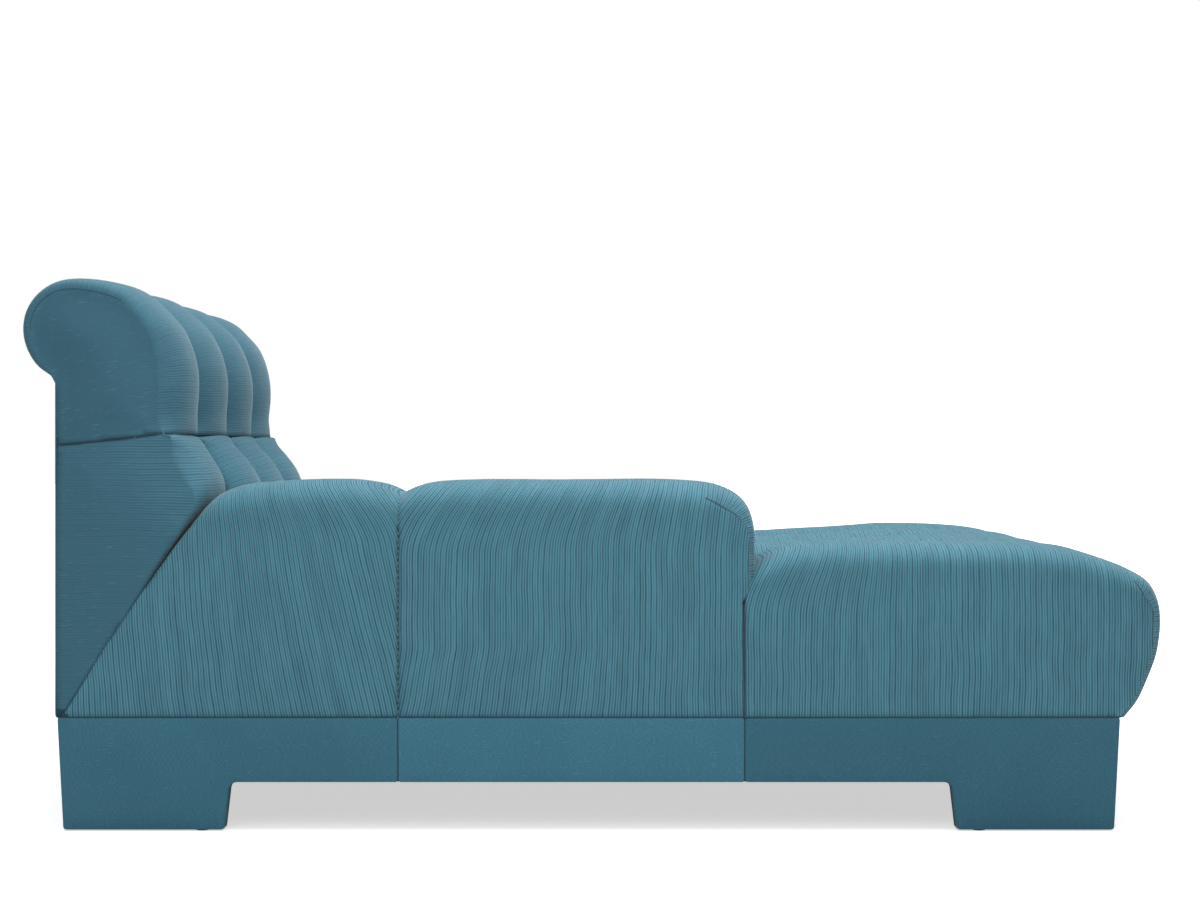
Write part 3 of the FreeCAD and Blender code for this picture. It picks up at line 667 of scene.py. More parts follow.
    def across_cloth(self) -> np.ndarray:
        """Measure the cloth across the width, so that it runs on over an open side's edge.

        Returns:
            An array of columns by rows.
        """
        steps = np.linalg.norm(np.diff(self.places, axis=0), axis=2)
        up = np.concatenate([np.zeros((1, len(self.rows))), np.cumsum(steps, axis=0)])
        from_low = self.places[0, :, 2] + up
        from_high = self.places[-1, :, 2] + up[-1:] - up
        if self.low is Edge.SIDE and self.high is Edge.SIDE:
            return np.minimum(from_low, from_high)
        return from_high if self.high is Edge.SIDE else from_low

    def strip(self) -> tuple[list, list]:
        """Make the faces that go round the outline, with their cloth coordinates.

        Returns:
            The faces and the cloth coordinates of their corners.
        """
        rows, places = self.rows, self.places
        n = len(rows)
        length = arc_length(rows)
        length = np.append(length, length[-1] + np.linalg.norm(rows[-1, :2] - rows[0, :2]))
        across = self.across_cloth()
        first, _ = self.dart_rows()
        k = self.dart_column
        start = self.rib_place(rows[first, X], rows[first, Z]) - length[first] if self.dart else rows[0, Z]
        faces, uvs = [], []
        for j in range(self.columns):
            outer = self.low is Edge.SIDE and j < k
            outer = outer or (self.high is Edge.SIDE and self.columns - 1 - j < k)
            for i in range(n):
                after = (i + 1) % n
                corners = ((j, i), (j, after), (j + 1, after), (j + 1, i))
                faces.append(tuple(a * n + b for a, b in corners))
                face = []
                for a, b in corners:
                    arc = length[i + 1] if b == after else length[i]
                    if self.ribs is Ribs.HEIGHT:
                        u = places[a, b, 2]
                    elif self.ribs is Ribs.ROUND or (i >= first and not outer):
                        u = start + arc
                    else:
                        u = self.rib_place(places[a, b, 0], places[a, b, 2])
                    face.append((u, across[a, b]))
                uvs.append(tuple(face))
        return faces, uvs

    def side_panel(self, verts: list, faces: list, uvs: list, values: dict, first: int) -> None:
        """Close an open side with a fine, slightly swollen panel.

        Args:
            verts: the mesh's points, added to.
            faces: its faces, added to.
            uvs: its cloth coordinates, added to.
            values: its point values, added to.
            first: the number of the side's first point.
        """
        n = len(self.rows)
        ring = np.array([(verts[i][0], verts[i][2]) for i in range(first, first + n)])
        y, outward = (self.span[0], -1) if first == 0 else (self.span[1], 1)
        flat, cells = fill_outline(ring, self.step)
        index = list(range(first, first + n)) + list(range(len(verts), len(verts) + len(flat) - n))
        gap, _ = to_border(flat[n:], ring)
        reach = np.linalg.norm(flat[n:, None] - ring[None], axis=2)
        tuck = (self.rows[None, :, RECESS] * np.exp(-reach / self.recess_reach)).max(1)
        facing = np.maximum(0, np.cos(np.radians(self.rows[:, WAY]))) * (np.arange(n) < self.crest_rows)
        fade = (facing[None] * np.exp(-((reach / FADE_REACH) ** 2))).max(1)
        swell = self.puff * (1 - np.exp(-((gap / SWELL_REACH) ** 2)))
        strength = self.side_ribbing + (self.edge_ribbing - self.side_ribbing) * fade
        for p, back, out, rib, room in zip(flat[n:], tuck, swell, strength, gap):
            verts.append((p[0], y + outward * (out - back), p[1]))
            values[RIBBING].append(float(rib))
            values[CREASE].append(0.0)
            self.give.append(min(1.0, room / FREE_REACH))
        for i in range(n):
            values[CREASE][first + i] = max(values[CREASE][first + i], float(self.rows[i, CREASE_AT]))
            if self.rows[i, WAY] < LEVEL_WAY or i >= self.crest_rows:
                values[RIBBING][first + i] = max(self.side_ribbing, self.edge_ribbing * float(facing[i]))
        for cell in cells:
            faces.append(tuple(index[i] for i in cell))
            uvs.append(tuple(self.panel_cloth(flat[i]) for i in cell))

    def panel_cloth(self, p: np.ndarray) -> tuple[float, float]:
        """The cloth coordinates of a place on an open side panel.

        Args:
            p: its x and z.

        Returns:
            The coordinates.
        """
        if self.ribs is Ribs.LENGTH:
            return self.rib_place(p[0], p[1]), p[1]
        return p[1] - self.slope * p[0], p[0]

    def settle(self) -> None:
        """Give the cloth the slight unevenness of stuffing, and draw sewn lines in a little."""
        mesh = self.obj.data
        count = len(mesh.vertices)
        place, normal, crease = np.zeros(count * 3), np.zeros(count * 3), np.zeros(count)
        mesh.vertices.foreach_get("co", place)
        mesh.vertices.foreach_get("normal", normal)
        mesh.attributes[CREASE].data.foreach_get("value", crease)
        place, normal = place.reshape(-1, 3), normal.reshape(-1, 3)
        wide = np.array([noise.noise(Vector(p) / WAVE[1] + Vector((SEED, 0, 0))) for p in place])
        small = np.array([noise.noise(Vector(p) / RIPPLE[1] + Vector((0, SEED, 0))) for p in place])
        move = np.array(self.give) * (WAVE[0] * wide + RIPPLE[0] * small - SEWN_DIP * crease)
        mesh.vertices.foreach_set("co", (place + normal * move[:, None]).ravel())
        mesh.update()

    def point(self, column: int, row: int) -> Vector:
        """A point of the finished crown."""
        return self.obj.data.vertices[column * len(self.rows) + row].co.copy()

    def border(self, low: bool, keep: Callable[[Vector, int], bool], lift: float = 0.0) -> list[Vector]:
        """A line along the edge of an open side panel.

        Args:
            low: whether it is the side nearer the arm.
            keep: says of a point and its row whether the line passes it.
            lift: how far outwards the line lies.

        Returns:
            The line's points.
        """
        column, outward = (0, -1) if low else (self.columns, 1)
        points = [(self.point(column, i), i) for i in range(len(self.rows))]
        return [p + Vector((0, outward * lift, 0)) for p, i in points if keep(p, i)]

    def dart_line(self, low: bool) -> list[Vector]:
        """The sewn line of the dart at an open side.

        Args:
            low: whether it is the side nearer the arm.

        Returns:
            The line's points.
        """
        column = self.dart_column if low else self.columns - self.dart_column
        first, _ = self.dart_rows()
        return [self.point(column, i) for i in range(first, self.crest_rows)]


@dataclass
class Back:
    """Two tiers of four channels: the upper one rolls over the top, the lower one meets the seat."""

    frame: Frame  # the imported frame's places
    roll_radius: float = 0.077  # the radius of the roll at the top
    seam_rear: float = 0.0152  # how much lower the seam between the tiers is at the rear
    # where the seam bends, and how much lower it is there
    seam_bend: tuple[float, float] = (-0.661, 0.0035)
    # where it ends in front, and how much higher it is there
    seam_front: tuple[float, float] = (-0.628, 0.0015)
    # how near to the seam its cloth stays put, and how far off it moves freely
    seam_hold: tuple[float, float] = (0.003, 0.030)
    roll_foot: float = 0.082  # how far under the roll's centre its cloth meets the rear
    arm_top: tuple[float, float] = (-0.6157, 0.402)  # where the first channel's side meets the arm's top
    arm_foot_x: float = -0.7684  # where it meets the plinth
    # how far each channel's front lies back in the upper tier
    upper_back: tuple[float, ...] = (0.007, 0.005, 0.005, 0.012)
    lower_back: tuple[float, ...] = (0.010, 0.005, 0.005, 0.014)  # the same for the lower tier
    pads: dict[str, Pad] = field(default_factory=dict)  # the finished pads by name

    def tier_seam(self) -> list[Point]:
        """The corners of the seam between the tiers, which rises to the front, from the rear.

        Returns:
            The corners.
        """
        top = self.frame.tuft_z
        return [
            Point(self.frame.pad_rear_x, top - self.seam_rear, recess=0.003, crease=1),
            Point(self.seam_bend[0], top - self.seam_bend[1], recess=0.003, crease=1),
            Point(self.seam_front[0], top + self.seam_front[1], recess=0.005, crease=1),
        ]

    def set_back(self, crest: list[Point], by: float) -> None:
        """Move the front of a crest to the rear, and draw it in further beside it.

        Args:
            crest: the crest's points, changed in place.
            by: how far the foremost of them moves.
        """
        for p in crest:
            facing = max(0.0, math.cos(math.radians(p.way)))
            away = smooth_step(abs(p.z - self.frame.tuft_z), *self.seam_hold)
            p.x -= by * (away * facing ** 2 + (1 - away) * 0.5)
            p.side *= 1 + 0.6 * facing
            p.seam *= 1 + 0.2 * facing

    def upper_view(self) -> tuple[list[Point], list[Point]]:
        """The upper tier's crest, up the front and over the roll, and its closing corners.

        Returns:
            The crest's points and the closing ones.
        """
        f = self.frame
        crest = side_view((
            (-600, 574, 5, 10, 18, 10, 1), (-596, 587, 5, 18, 28, 13, 0), (-593.5, 606, 5, 20, 31, 14),
            (-591, 640, 8, 21, 32, 14), (-593, 675, 15, 22, 32, 14), (-605, 713.5, 32, 22, 32, 12),
            (-622, 742, 46, 21, 31, 9), (-645, 765, 56, 20, 30, 6), (-674, 787, 70, 19, 29, 3),
            (-713, 799, 82, 20, 28, 0),
        ))
        centre_x = f.roll_x + self.roll_radius
        centre_z = f.top_z - self.roll_radius
        for way in (90, 112, 135, 158, 180, 203, 226, 247):
            x = centre_x + self.roll_radius * math.cos(math.radians(way))
            z = centre_z + self.roll_radius * math.sin(math.radians(way))
            late = smooth_step(way, 200, 250)
            crest.append(Point(x, z, way, (20 - 12 * late) * MM, (28 - 16 * late) * MM))
        return crest, [Point(f.pad_rear_x, centre_z - self.roll_foot)] + self.tier_seam()

    def lower_view(self, first: bool) -> tuple[list[Point], list[Point]]:
        """The lower tier's crest and closing corners.

        Args:
            first: whether it is the channel behind the arm.

        Returns:
            The crest's points and the closing ones.
        """
        f = self.frame
        rear, foot = f.pad_rear_x, f.pad_foot_z
        rest = [Point(rear, foot, recess=0.0015, crease=1), Point(rear, (foot + f.tuft_z) / 2)]
        rest += self.tier_seam()
        if first:
            crest = side_view((
                (-604, 573.8, 62, 4, 12, 6, 1), (-594, 568, 48, 11, 20, 7, 0), (-585, 557, 38, 17, 23, 5),
                (-573, 541, 35, 20, 27, 4), (-561, 524, 32, 20, 28, 3), (-553.5, 508, 28, 17, 28, 2),
                (-550, 494, 20, 13, 26, 1), (-551, 480, 10, 9, 20, 1), (-560, 464, 0, 4, 12, 2),
            ))
            arm_top = Point(*self.arm_top, recess=0.0025, crease=1)
            return crest, [arm_top, Point(self.arm_foot_x, foot, recess=0.0025, crease=1), *rest]
        crest = side_view((
            (-598.5, 573.8, 62, 4, 12, 6, 1), (-591.5, 568, 48, 11, 20, 7, 0),
            (-584.5, 559.5, 42, 16, 22, 5), (-569.5, 545, 38, 20, 27, 4), (-555.5, 528, 35, 20, 28, 3),
            (-546.5, 515, 32, 20, 28, 2), (-538.5, 500, 28, 20, 28), (-526.5, 472, 24, 20, 28),
            (-510.5, 436, 10, 20, 28), (-512, 418.5, -25, 18, 24), (-528.5, 405, -50, 12, 16),
            (-561, 378, -60, 4, 6, 1, 1),
        ))
        return crest, [Point(f.seat_rear_x, foot, recess=0.0015, crease=1), *rest]

    def build(self, cloth: Material) -> None:
        """Build and dress the eight pads.

        Args:
            cloth: the upholstery cloth.
        """
        for number in CHANNELS:
            crest, closing = self.upper_view()
            self.set_back(crest, self.upper_back[number - 1])
            upper = Pad(
                f"back_upper_channel_{number}", (f"back_upper_cover_{number}", f"back_upper_foam_{number}"),
                crest, closing, self.frame.span(number), *edges(number),
                side_ribbing=0.0, edge_ribbing=0.10, slope=0.24, puff=0.010, recess_reach=0.05,
                crown_ribbing=0.26, front_power=2.0, seam_power=2.0,
            )
            crest, closing = self.lower_view(number == 1)
            self.set_back(crest, self.lower_back[number - 1])
            lower = Pad(
                f"back_lower_channel_{number}", (f"back_lower_cover_{number}", f"back_lower_foam_{number}"),
                crest, closing, self.frame.span(number), *edges(number),
                ribs=Ribs.HEIGHT if number == 1 else Ribs.ROUND,
                side_ribbing=0.10, edge_ribbing=0.45, puff=0.007, recess_reach=0.03,
                crown_ribbing=0.52, front_power=2.0, seam_power=2.0,
            )
            for pad in (upper, lower):
                pad.make(cloth)
                self.pads[pad.name] = pad


@dataclass
class Seat:
    """Four channels that run from the back to a waterfall nose."""

    frame: Frame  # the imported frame's places
    dart_start: float = 0.046  # how far before the nose its dart starts
    dart_end: float = 0.017  # how far before the nose the dart meets the side
    fan: float = 0.050  # how far the first channel's ribs fan out in front of the arm
    fan_height: float = 0.105  # over how much height they do so
    # where along the length the fan starts to fade, and where it ends
    fan_reach: tuple[float, float] = (0.24, 0.50)
    pads: dict[int, Pad] = field(default_factory=dict)  # the finished pads by channel

    def lean(self, x: float, z: float) -> float:
        """How far the first channel's ribs lean from upright."""
        up = clamped(1 - (self.frame.seat_z - z) / self.fan_height)
        return (1 - smooth_step(x, *self.fan_reach)) * self.fan * up ** FAN_POWER

    def nose(self) -> list[Point]:
        """The waterfall, measured from the nose and the seat's height.

        Returns:
            The points of its crest.
        """
        rows = (
            (-300, 0, 90, 46, 30), (-180, -2.5, 90, 46, 30), (-131, -8.5, 88, 46, 30),
            (-91, -20.5, 78, 43, 30, 1), (-46, -38.5, 60, 36, 29, 4), (-17, -56.5, 40, 30, 28, 8),
            (-3, -83, 15, 25, 27, 11), (0, -114.5, 0, 22, 26, 12), (-5, -158, 0, 21, 25, 12),
            (-18, -193.5, 0, 20, 23, 11), (-36, -229, 0, 20, 21, 7), (-53.5, -249.9, 0, 20, 20, 3),
        )
        return side_view(rows, self.frame.nose_x, self.frame.seat_z)

    def view(self, first: bool) -> tuple[list[Point], list[Point]]:
        """A channel's crest and closing corners.

        Args:
            first: whether it is the channel in front of the arm.

        Returns:
            The crest's points and the closing ones.
        """
        f = self.frame
        if first:
            start = side_view((
                (216.5, 352.5, 120, 2, 2, 2, 1), (235, 382, 100, 24, 16), (281, 407, 90, 43, 27),
            ))
        else:
            start = side_view((
                (-560.5, 352.5, 120, 2, 2, 1, 1), (-542.5, 384, 100, 24, 14), (-496.5, 399, 92, 42, 26),
                (-260, 403, 90, 46, 28), (0, 400.5, 90, 46, 28), (300, 402.5, 90, 46, 28),
            ))
        rear = f.arm_front_x if first else f.seat_rear_x
        closing = [Point(rear, f.pad_foot_z, recess=0.0015, crease=1)]
        nose = self.nose()
        nose[-1].z = f.pad_foot_z
        nose[-1].crease = 1.0
        return start + nose, closing

    def build(self, cloth: Material) -> None:
        """Build and dress the four pads.

        Args:
            cloth: the upholstery cloth.
        """
        for number in CHANNELS:
            crest, closing = self.view(number == 1)
            pad = Pad(
                f"seat_channel_{number}", (f"seat_cover_channel_{number}", f"seat_foam_channel_{number}"),
                crest, closing, self.frame.span(number), *edges(number),
                ribs=Ribs.LENGTH, recess_reach=0.045, front_power=2.0,
                lean=self.lean if number == 1 else None,
                dart=(self.frame.nose_x - self.dart_start, self.frame.nose_x - self.dart_end),
            )
            pad.make(cloth)
            self.pads[number] = pad


@dataclass
class Arm:
    """One channel on the near side, in a rear and a front pad with a stitched split between them."""

    frame: Frame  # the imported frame's places
    fan: float = 0.062  # how far the ribs fan out over the top of the split
    fan_height: float = 0.105  # over how much height they do so
    drift: float = 0.060  # how far the rear pad's ribs drift from its foot up
    foot_lean: float = 0.018  # how far the front pad's ribs lean in its lowest part
    split_x: float = -0.2825  # where the two pads meet
    rise: float = 0.0915  # how much higher than the seat the arm's top is, where the fan is fully open
    # where along the rear pad the fan begins, and where it is full
    rear_fan: tuple[float, float] = (-0.62, -0.34)
    # where along the front pad the fan begins to fade, and where it has
    front_fan: tuple[float, float] = (-0.25, 0.24)
    rear_share: float = 0.35  # how much of the rear pad's drift it has without the fan
    front_share: float = 0.25  # how much of the fan the front pad keeps at its front
    rear_foot: float = 0.24  # the height over which the rear pad's ribs start to drift
    front_foot: float = 0.1  # the same for the front pad
    # where the front pad's dart starts, and where it meets the side
    dart: tuple[float, float] = (0.164, 0.2315)
    pads: dict[str, Pad] = field(default_factory=dict)  # the finished pads by name

    def fan_out(self, z: float) -> float:
        """How far the fan has opened at a height, from 0 below it to 1 at the arm's top."""
        top = self.frame.seat_z + self.rise
        return clamped((z - top + self.fan_height) / self.fan_height) ** FAN_POWER

    def rear_lean(self, x: float, z: float) -> float:
        """How far the rear pad's ribs lean from upright.

        Args:
            x: the place along the length.
            z: the height.

        Returns:
            How far they do.
        """
        near = smooth_step(x, *self.rear_fan)
        low = clamped((z - self.frame.pad_foot_z) / self.rear_foot)
        share = self.rear_share + (1 - self.rear_share) * near
        return -near * self.fan * self.fan_out(z) - share * self.drift * low

    def front_lean(self, x: float, z: float) -> float:
        """How far the front pad's ribs lean from upright.

        Args:
            x: the place along the length.
            z: the height.

        Returns:
            How far they do.
        """
        near = 1 - smooth_step(x, *self.front_fan)
        low = clamped((z - self.frame.pad_foot_z) / self.front_foot)
        share = self.front_share + (1 - self.front_share) * near
        return share * self.fan * self.fan_out(z) + near * self.foot_lean * low

    def build(self, cloth: Material) -> None:
        """Build and dress the two pads.

        Args:
            cloth: the upholstery cloth.
        """
        f = self.frame
        foot = f.pad_foot_z
        rear_crest = side_view((
            (-767.7, 164.6, 90, 0, 0, 2.5, 1), (-742, 206, 90, 0, 0, 2.5, 1), (-702, 271, 90, 0, 0, 2.5, 1),
            (-660, 333, 90, 0, 0, 2.5, 1), (-631, 374, 90, 0, 0, 2.5, 1), (-613, 402, 90, 4, 0, 2, 1),
            (-597, 428, 90, 14, 0, 1, 0.4), (-579, 453, 90, 26), (-560, 476, 90, 38), (-545, 488.5, 90, 46),
            (-520, 498, 90, 54), (-490, 502.8, 90, 58), (-451, 505.5, 90, 58), (-400, 506.5, 90, 58),
            (-350, 505.5, 90, 58), (-330, 503, 90, 57), (-308, 498.5, 90, 54), (-292, 492, 90, 50, 0, 2, 0),
            (-282.5, 486.5, 90, 46, 0, 3, 1),
        ))
        front_crest = side_view((
            (-282.5, 486.5, 90, 46, 0, 3, 1), (-273, 492, 90, 50, 0, 2, 0), (-258, 498, 90, 54),
            (-235, 502.3, 90, 57), (-200, 504.5, 90, 58), (-100, 506.5, 90, 58), (0, 506.8, 90, 58),
            (100, 506, 90, 58), (140, 504, 88, 57), (162.5, 502, 82, 54), (184, 497.5, 72, 50),
            (199.5, 491.5, 60, 45), (212, 483.5, 45, 40), (221, 474.5, 35, 33), (227.5, 463.5, 24, 27),
            (231.5, 451, 16, 20), (234, 438, 10, 14), (235.3, 412, 4, 12), (235.5, 380, 0, 12, 0, 1, 0),
            (234, 355, 0, 11, 0, 1, 0), (226, 338, 0, 8, 0, 2, 1), (217, 330, 0, 3, 0, 2, 1),
        ))
        split = Point(self.split_x, foot, recess=0.003, crease=1)
        base_front = Point(f.arm_front_x, foot, recess=0.002, crease=1)
        for name, crest, closing, lean, dart in (
            ("rear", rear_crest, [split], self.rear_lean, None),
            ("front", front_crest, [base_front, split], self.front_lean, self.dart),
        ):
            pad = Pad(
                f"arm_{name}", (f"arm_cover_{name}", f"arm_foam_{name}"), crest, closing,
                f.span(1), Edge.SIDE, Edge.SIDE, ribs=Ribs.LENGTH, dart=dart, lean=lean,
            )
            pad.make(cloth)
            self.pads[name] = pad


@dataclass
class Panel:
    """A flat panel under cloth, with rounded edges and a slight crown."""

    corners: list[tuple[float, float, float]]  # its outline, each corner with the radius that rounds it
    depth: float  # how thick it is
    edge: float = 0.0026  # the radius of its front edge
    crown: float = 0.0008  # how far its middle swells
    step: float = 0.014  # the length of its face's triangles
    tone: float = 1.0  # painted light and shade: how much lighter or darker its piece of cloth is painted
    turn_step: float = 0.0022  # the length of a corner's edges
    crown_reach: float = 0.02  # how far in from its edge it is fully swollen

    def outline(self) -> np.ndarray:
        """Round the corners and divide the runs.

        Returns:
            The outline's points, in order.
        """
        points = np.array([c[:2] for c in self.corners])
        made = []
        for i, (s, z, radius) in enumerate(self.corners):
            here = np.array((s, z))
            to_last = points[i - 1] - here
            to_next = points[(i + 1) % len(points)] - here
            to_last /= np.linalg.norm(to_last)
            to_next /= np.linalg.norm(to_next)
            half = math.acos(max(-1.0, min(1.0, float(to_last @ to_next)))) / 2
            reach = radius / math.tan(half)
            middle = (to_last + to_next) / np.linalg.norm(to_last + to_next)
            centre = here + middle * radius / math.sin(half)
            start, end = here + to_last * reach - centre, here + to_next * reach - centre
            turn = math.pi - 2 * half
            side = math.copysign(1.0, float(start[0] * end[1] - start[1] * end[0]))
            count = max(2, int(turn * radius / self.turn_step))
            for k in range(count + 1):
                angle = side * turn * k / count
                c, w = math.cos(angle), math.sin(angle)
                made.append(centre + np.array((c * start[0] - w * start[1], w * start[0] + c * start[1])))
        full = []
        for a, b in zip(made, made[1:] + made[:1]):
            count = max(1, int(np.linalg.norm(b - a) / self.step))
            full.extend(a + (b - a) * k / count for k in range(count))
        return np.array(full)

    @staticmethod
    def shrink(ring: np.ndarray, by: float) -> np.ndarray:
        """Move an outline inwards.

        Args:
            ring: its corners in order.
            by: how far.

        Returns:
            The corners of the smaller outline.
        """
        ahead = np.roll(ring, -1, axis=0) - ring
        ahead /= np.linalg.norm(ahead, axis=1)[:, None]
        behind = np.roll(ahead, 1, axis=0)
        area = float(np.sum(ring[:, 0] * np.roll(ring[:, 1], -1) - np.roll(ring[:, 0], -1) * ring[:, 1]))
        way = math.copysign(1.0, area)
        both = ahead + behind
        normal = np.column_stack([-both[:, 1], both[:, 0]]) * way
        normal /= np.linalg.norm(normal, axis=1)[:, None]
        edge = np.column_stack([-ahead[:, 1], ahead[:, 0]]) * way
        return ring + normal * by / np.maximum((normal * edge).sum(1), 0.5)[:, None]

    def add_to(self, verts: list, faces: list, uvs: list, place: Place) -> None:
        """Add the closed shell to a mesh.

        Args:
            verts: the mesh's points, added to.
            faces: its faces, added to.
            uvs: its cloth coordinates, added to.
            place: turns a place along the panel, a height and a depth into a point.
        """
        ring = self.outline()
        n = len(ring)
        first = len(verts)
        rings = [(ring, self.depth), (ring, self.edge)]
        for k in (1, 2, 3):
            angle = math.radians(30 * k)
            inner = self.shrink(ring, self.edge * (1 - math.cos(angle)))
            rings.append((inner, self.edge * (1 - math.sin(angle))))
        flat, cells = fill_outline(rings[-1][0], self.step)
        cloth = []
        for points, depth in rings:
            verts.extend(place(p[0], p[1], depth) for p in points)
            cloth.extend((p[1] - depth, p[0]) for p in points)
        gap, _ = to_border(flat[n:], rings[-1][0])
        swell = self.crown * (1 - np.exp(-((gap / self.crown_reach) ** 2)))
        for p, rise in zip(flat[n:], swell):
            verts.append(place(p[0], p[1], -rise))
            cloth.append((p[1], p[0]))
        for level in range(len(rings) - 1):
            for i in range(n):
                k = (i + 1) % n
                cell = (level * n + i, level * n + k, (level + 1) * n + k, (level + 1) * n + i)
                faces.append(tuple(first + c for c in cell))
                uvs.append(tuple(cloth[c] for c in cell))
        top = (len(rings) - 1) * n
        for cell in cells:
            faces.append(tuple(first + top + i for i in cell))
            uvs.append(tuple(cloth[top + i] for i in cell))
        faces.append(tuple(first + i for i in reversed(range(n))))
        uvs.append(tuple(cloth[i] for i in reversed(range(n))))


def wrap(name: str, node: str, panels: list[Panel], place: Place, cloth: Material) -> Object:
    """Make one plain cover of its panels.

    Args:
        name: the cover's name.
        node: the frame's node that it stands for.
        panels: its panels.
        place: turns a place along a panel, a height and a depth into a point.
        cloth: the cover's cloth.

    Returns:
        The finished piece.
    """
    verts, faces, uvs, painted_light_tones = [], [], [], []
    for panel in panels:
        panel.add_to(verts, faces, uvs, place)
        # each point carries its panel's painted light and shade
        painted_light_tones += [panel.tone] * (len(verts) - len(painted_light_tones))
    obj = make_object(name, verts, faces, uvs)
    add_point_values(obj.data, PAINTED_LIGHT_TONE, painted_light_tones)
    finish_piece(obj, cloth, (node,))
    return obj


@dataclass
class Plinth:
    """The cloth round the plinth's boards: four feet with arches between them, and two seams a side."""

    frame: Frame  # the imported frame's places
    taper: float = 0.007  # how far the walls lean in from the top to the floor
    depth: float = 0.0275  # how deep the cloth wraps the boards
    proud: float = 0.0012  # how far the cloth stands out of the boards' edges
    arch_z: float = 0.072  # the boards' height over the arches
    arch_radius: float = 0.012  # the radius of an arch's corners
    narrowing: float = 0.0085  # how much a foot narrows to its bottom
    glide: float = 0.003  # the height of the glides under the boards
    rear_foot: float = 0.246  # the length of a side's rear foot
    front_foot: float = 0.241  # the length of a side's front foot
    end_foot: float = 0.205  # the length of an end's feet
    corner: float = 0.0034  # the radius of a panel's upper corners
    foot_corner: float = 0.0045  # the radius of a foot's lower corners
    seam_gap: float = 0.00005  # how far a panel's edge lies from the middle of a seam
    end_gap: float = 0.0002  # how far an end's cover lies from those of the sides
    # painted light and shade on a side's three pieces of cloth, from the rear: the middle one lighter, the
    # ends darker
    painted_light_tones: tuple[float, ...] = (1.0, 1.16, 0.9)

    def lean(self, z: float) -> float:
        """How far a wall lies in at a height."""
        return self.taper * (self.frame.plinth_z - z) / self.frame.plinth_z

    def arch_corners(self, low: float, high: float) -> tuple[list, list]:
        """The arch's corners at its left and at its right, from the left foot to the right one.

        Args:
            low: where its left foot ends.
            high: where its right foot starts.

        Returns:
            The corners of both halves.
        """
        foot, top, p = self.glide - self.proud, self.arch_z - self.proud, self.proud
        radius = self.arch_radius + p
        left = [(low - self.narrowing + p, foot, self.foot_corner), (low + p, top, radius)]
        right = [(high - p, top, radius), (high + self.narrowing - p, foot, self.foot_corner)]
        return left, right

    def side_panels(self, x0: float, x1: float, seams: Sequence[float]) -> list[Panel]:
        """The three panels of a long side.

        Args:
            x0: the plinth's rear end at the top.
            x1: its front end at the top.
            seams: where the two seams stand.

        Returns:
            The panels, from the rear.
        """
        foot, top, low = self.glide - self.proud, self.frame.pad_foot_z, self.arch_z - self.proud
        left, right = self.arch_corners(x0 + self.rear_foot, x1 - self.front_foot)
        a, b, c = seams[0], seams[1], self.corner
        gap = self.seam_gap
        rear = [(x0 + self.lean(foot), foot, self.foot_corner), *left, (a - gap, low, c)]
        rear += [(a - gap, top, c), (x0, top, c)]
        middle = [(a + gap, low, c), (b - gap, low, c), (b - gap, top, c), (a + gap, top, c)]
        front = [(b + gap, low, c), *right, (x1 - self.lean(foot), foot, self.foot_corner)]
        front += [(x1, top, c), (b + gap, top, c)]
        outlines = zip((rear, middle, front), self.painted_light_tones)
        return [Panel(corners, self.depth, tone=tone) for corners, tone in outlines]

    def end_panel(self, half: float) -> Panel:
        """The one panel of an end, between the two sides.

        Args:
            half: half of the plinth's width.

        Returns:
            The panel.
        """
        foot, top, c = self.glide - self.proud, self.frame.pad_foot_z, self.corner
        left, right = self.arch_corners(self.end_foot - half, half - self.end_foot)
        reach = half - self.depth - self.end_gap
        bottom = reach - self.lean(foot)
        ends = [(bottom, foot, self.foot_corner), (reach, top, c), (-reach, top, c)]
        return Panel([(-bottom, foot, self.foot_corner), *left, *right, *ends], self.depth)

    def build(self, cloth: Material) -> None:
        """Build and dress the four covers.

        Args:
            cloth: the plain side of the upholstery cloth.
        """
        low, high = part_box("plinth_cover_arm_side")
        x0, x1, half = low.x, high.x, -low.y
        seams = (self.frame.split_x, self.frame.arm_front_x)
        side, end = self.side_panels(x0, x1, seams), [self.end_panel(half)]
        for name, panels, place in (
            ("arm_side", side, lambda s, z, depth: (s, self.lean(z) + depth - half, z)),
            ("open_side", side, lambda s, z, depth: (s, half - self.lean(z) - depth, z)),
            ("back_end", end, lambda s, z, depth: (x0 + (self.lean(z) + depth), s, z)),
            ("foot_end", end, lambda s, z, depth: (x1 - (self.lean(z) + depth), s, z)),
        ):
            wrap(f"plinth_wrap_{name}", f"plinth_cover_{name}", panels, place, cloth)

    def seam_lines(self, sunk: float = 0.0016) -> list[list[Vector]]:
        """The upright seams of the long sides, and the lines under the padding, a little sunk, where dark
        cords paint their shade.

        Args:
            sunk: how far in from the cover's face they lie.

        Returns:
            The lines' points.
        """
        low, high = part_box("plinth_cover_arm_side")
        half = -low.y
        top = self.frame.pad_foot_z
        lines = []
        for way in (-1, 1):
            for x in (self.frame.split_x, self.frame.arm_front_x):
                heights = np.linspace(self.arch_z, self.frame.plinth_z, 12)
                lines.append([Vector((x, way * (half - self.lean(z) - sunk), z)) for z in heights])
            reach = np.linspace(low.x + sunk, high.x - sunk, 60)
            lines.append([Vector((x, way * (half - sunk), top)) for x in reach])
        for x in (low.x + sunk, high.x - sunk):
            lines.append([Vector((x, y, top)) for y in np.linspace(sunk - half, half - sunk, 40)])
        return lines


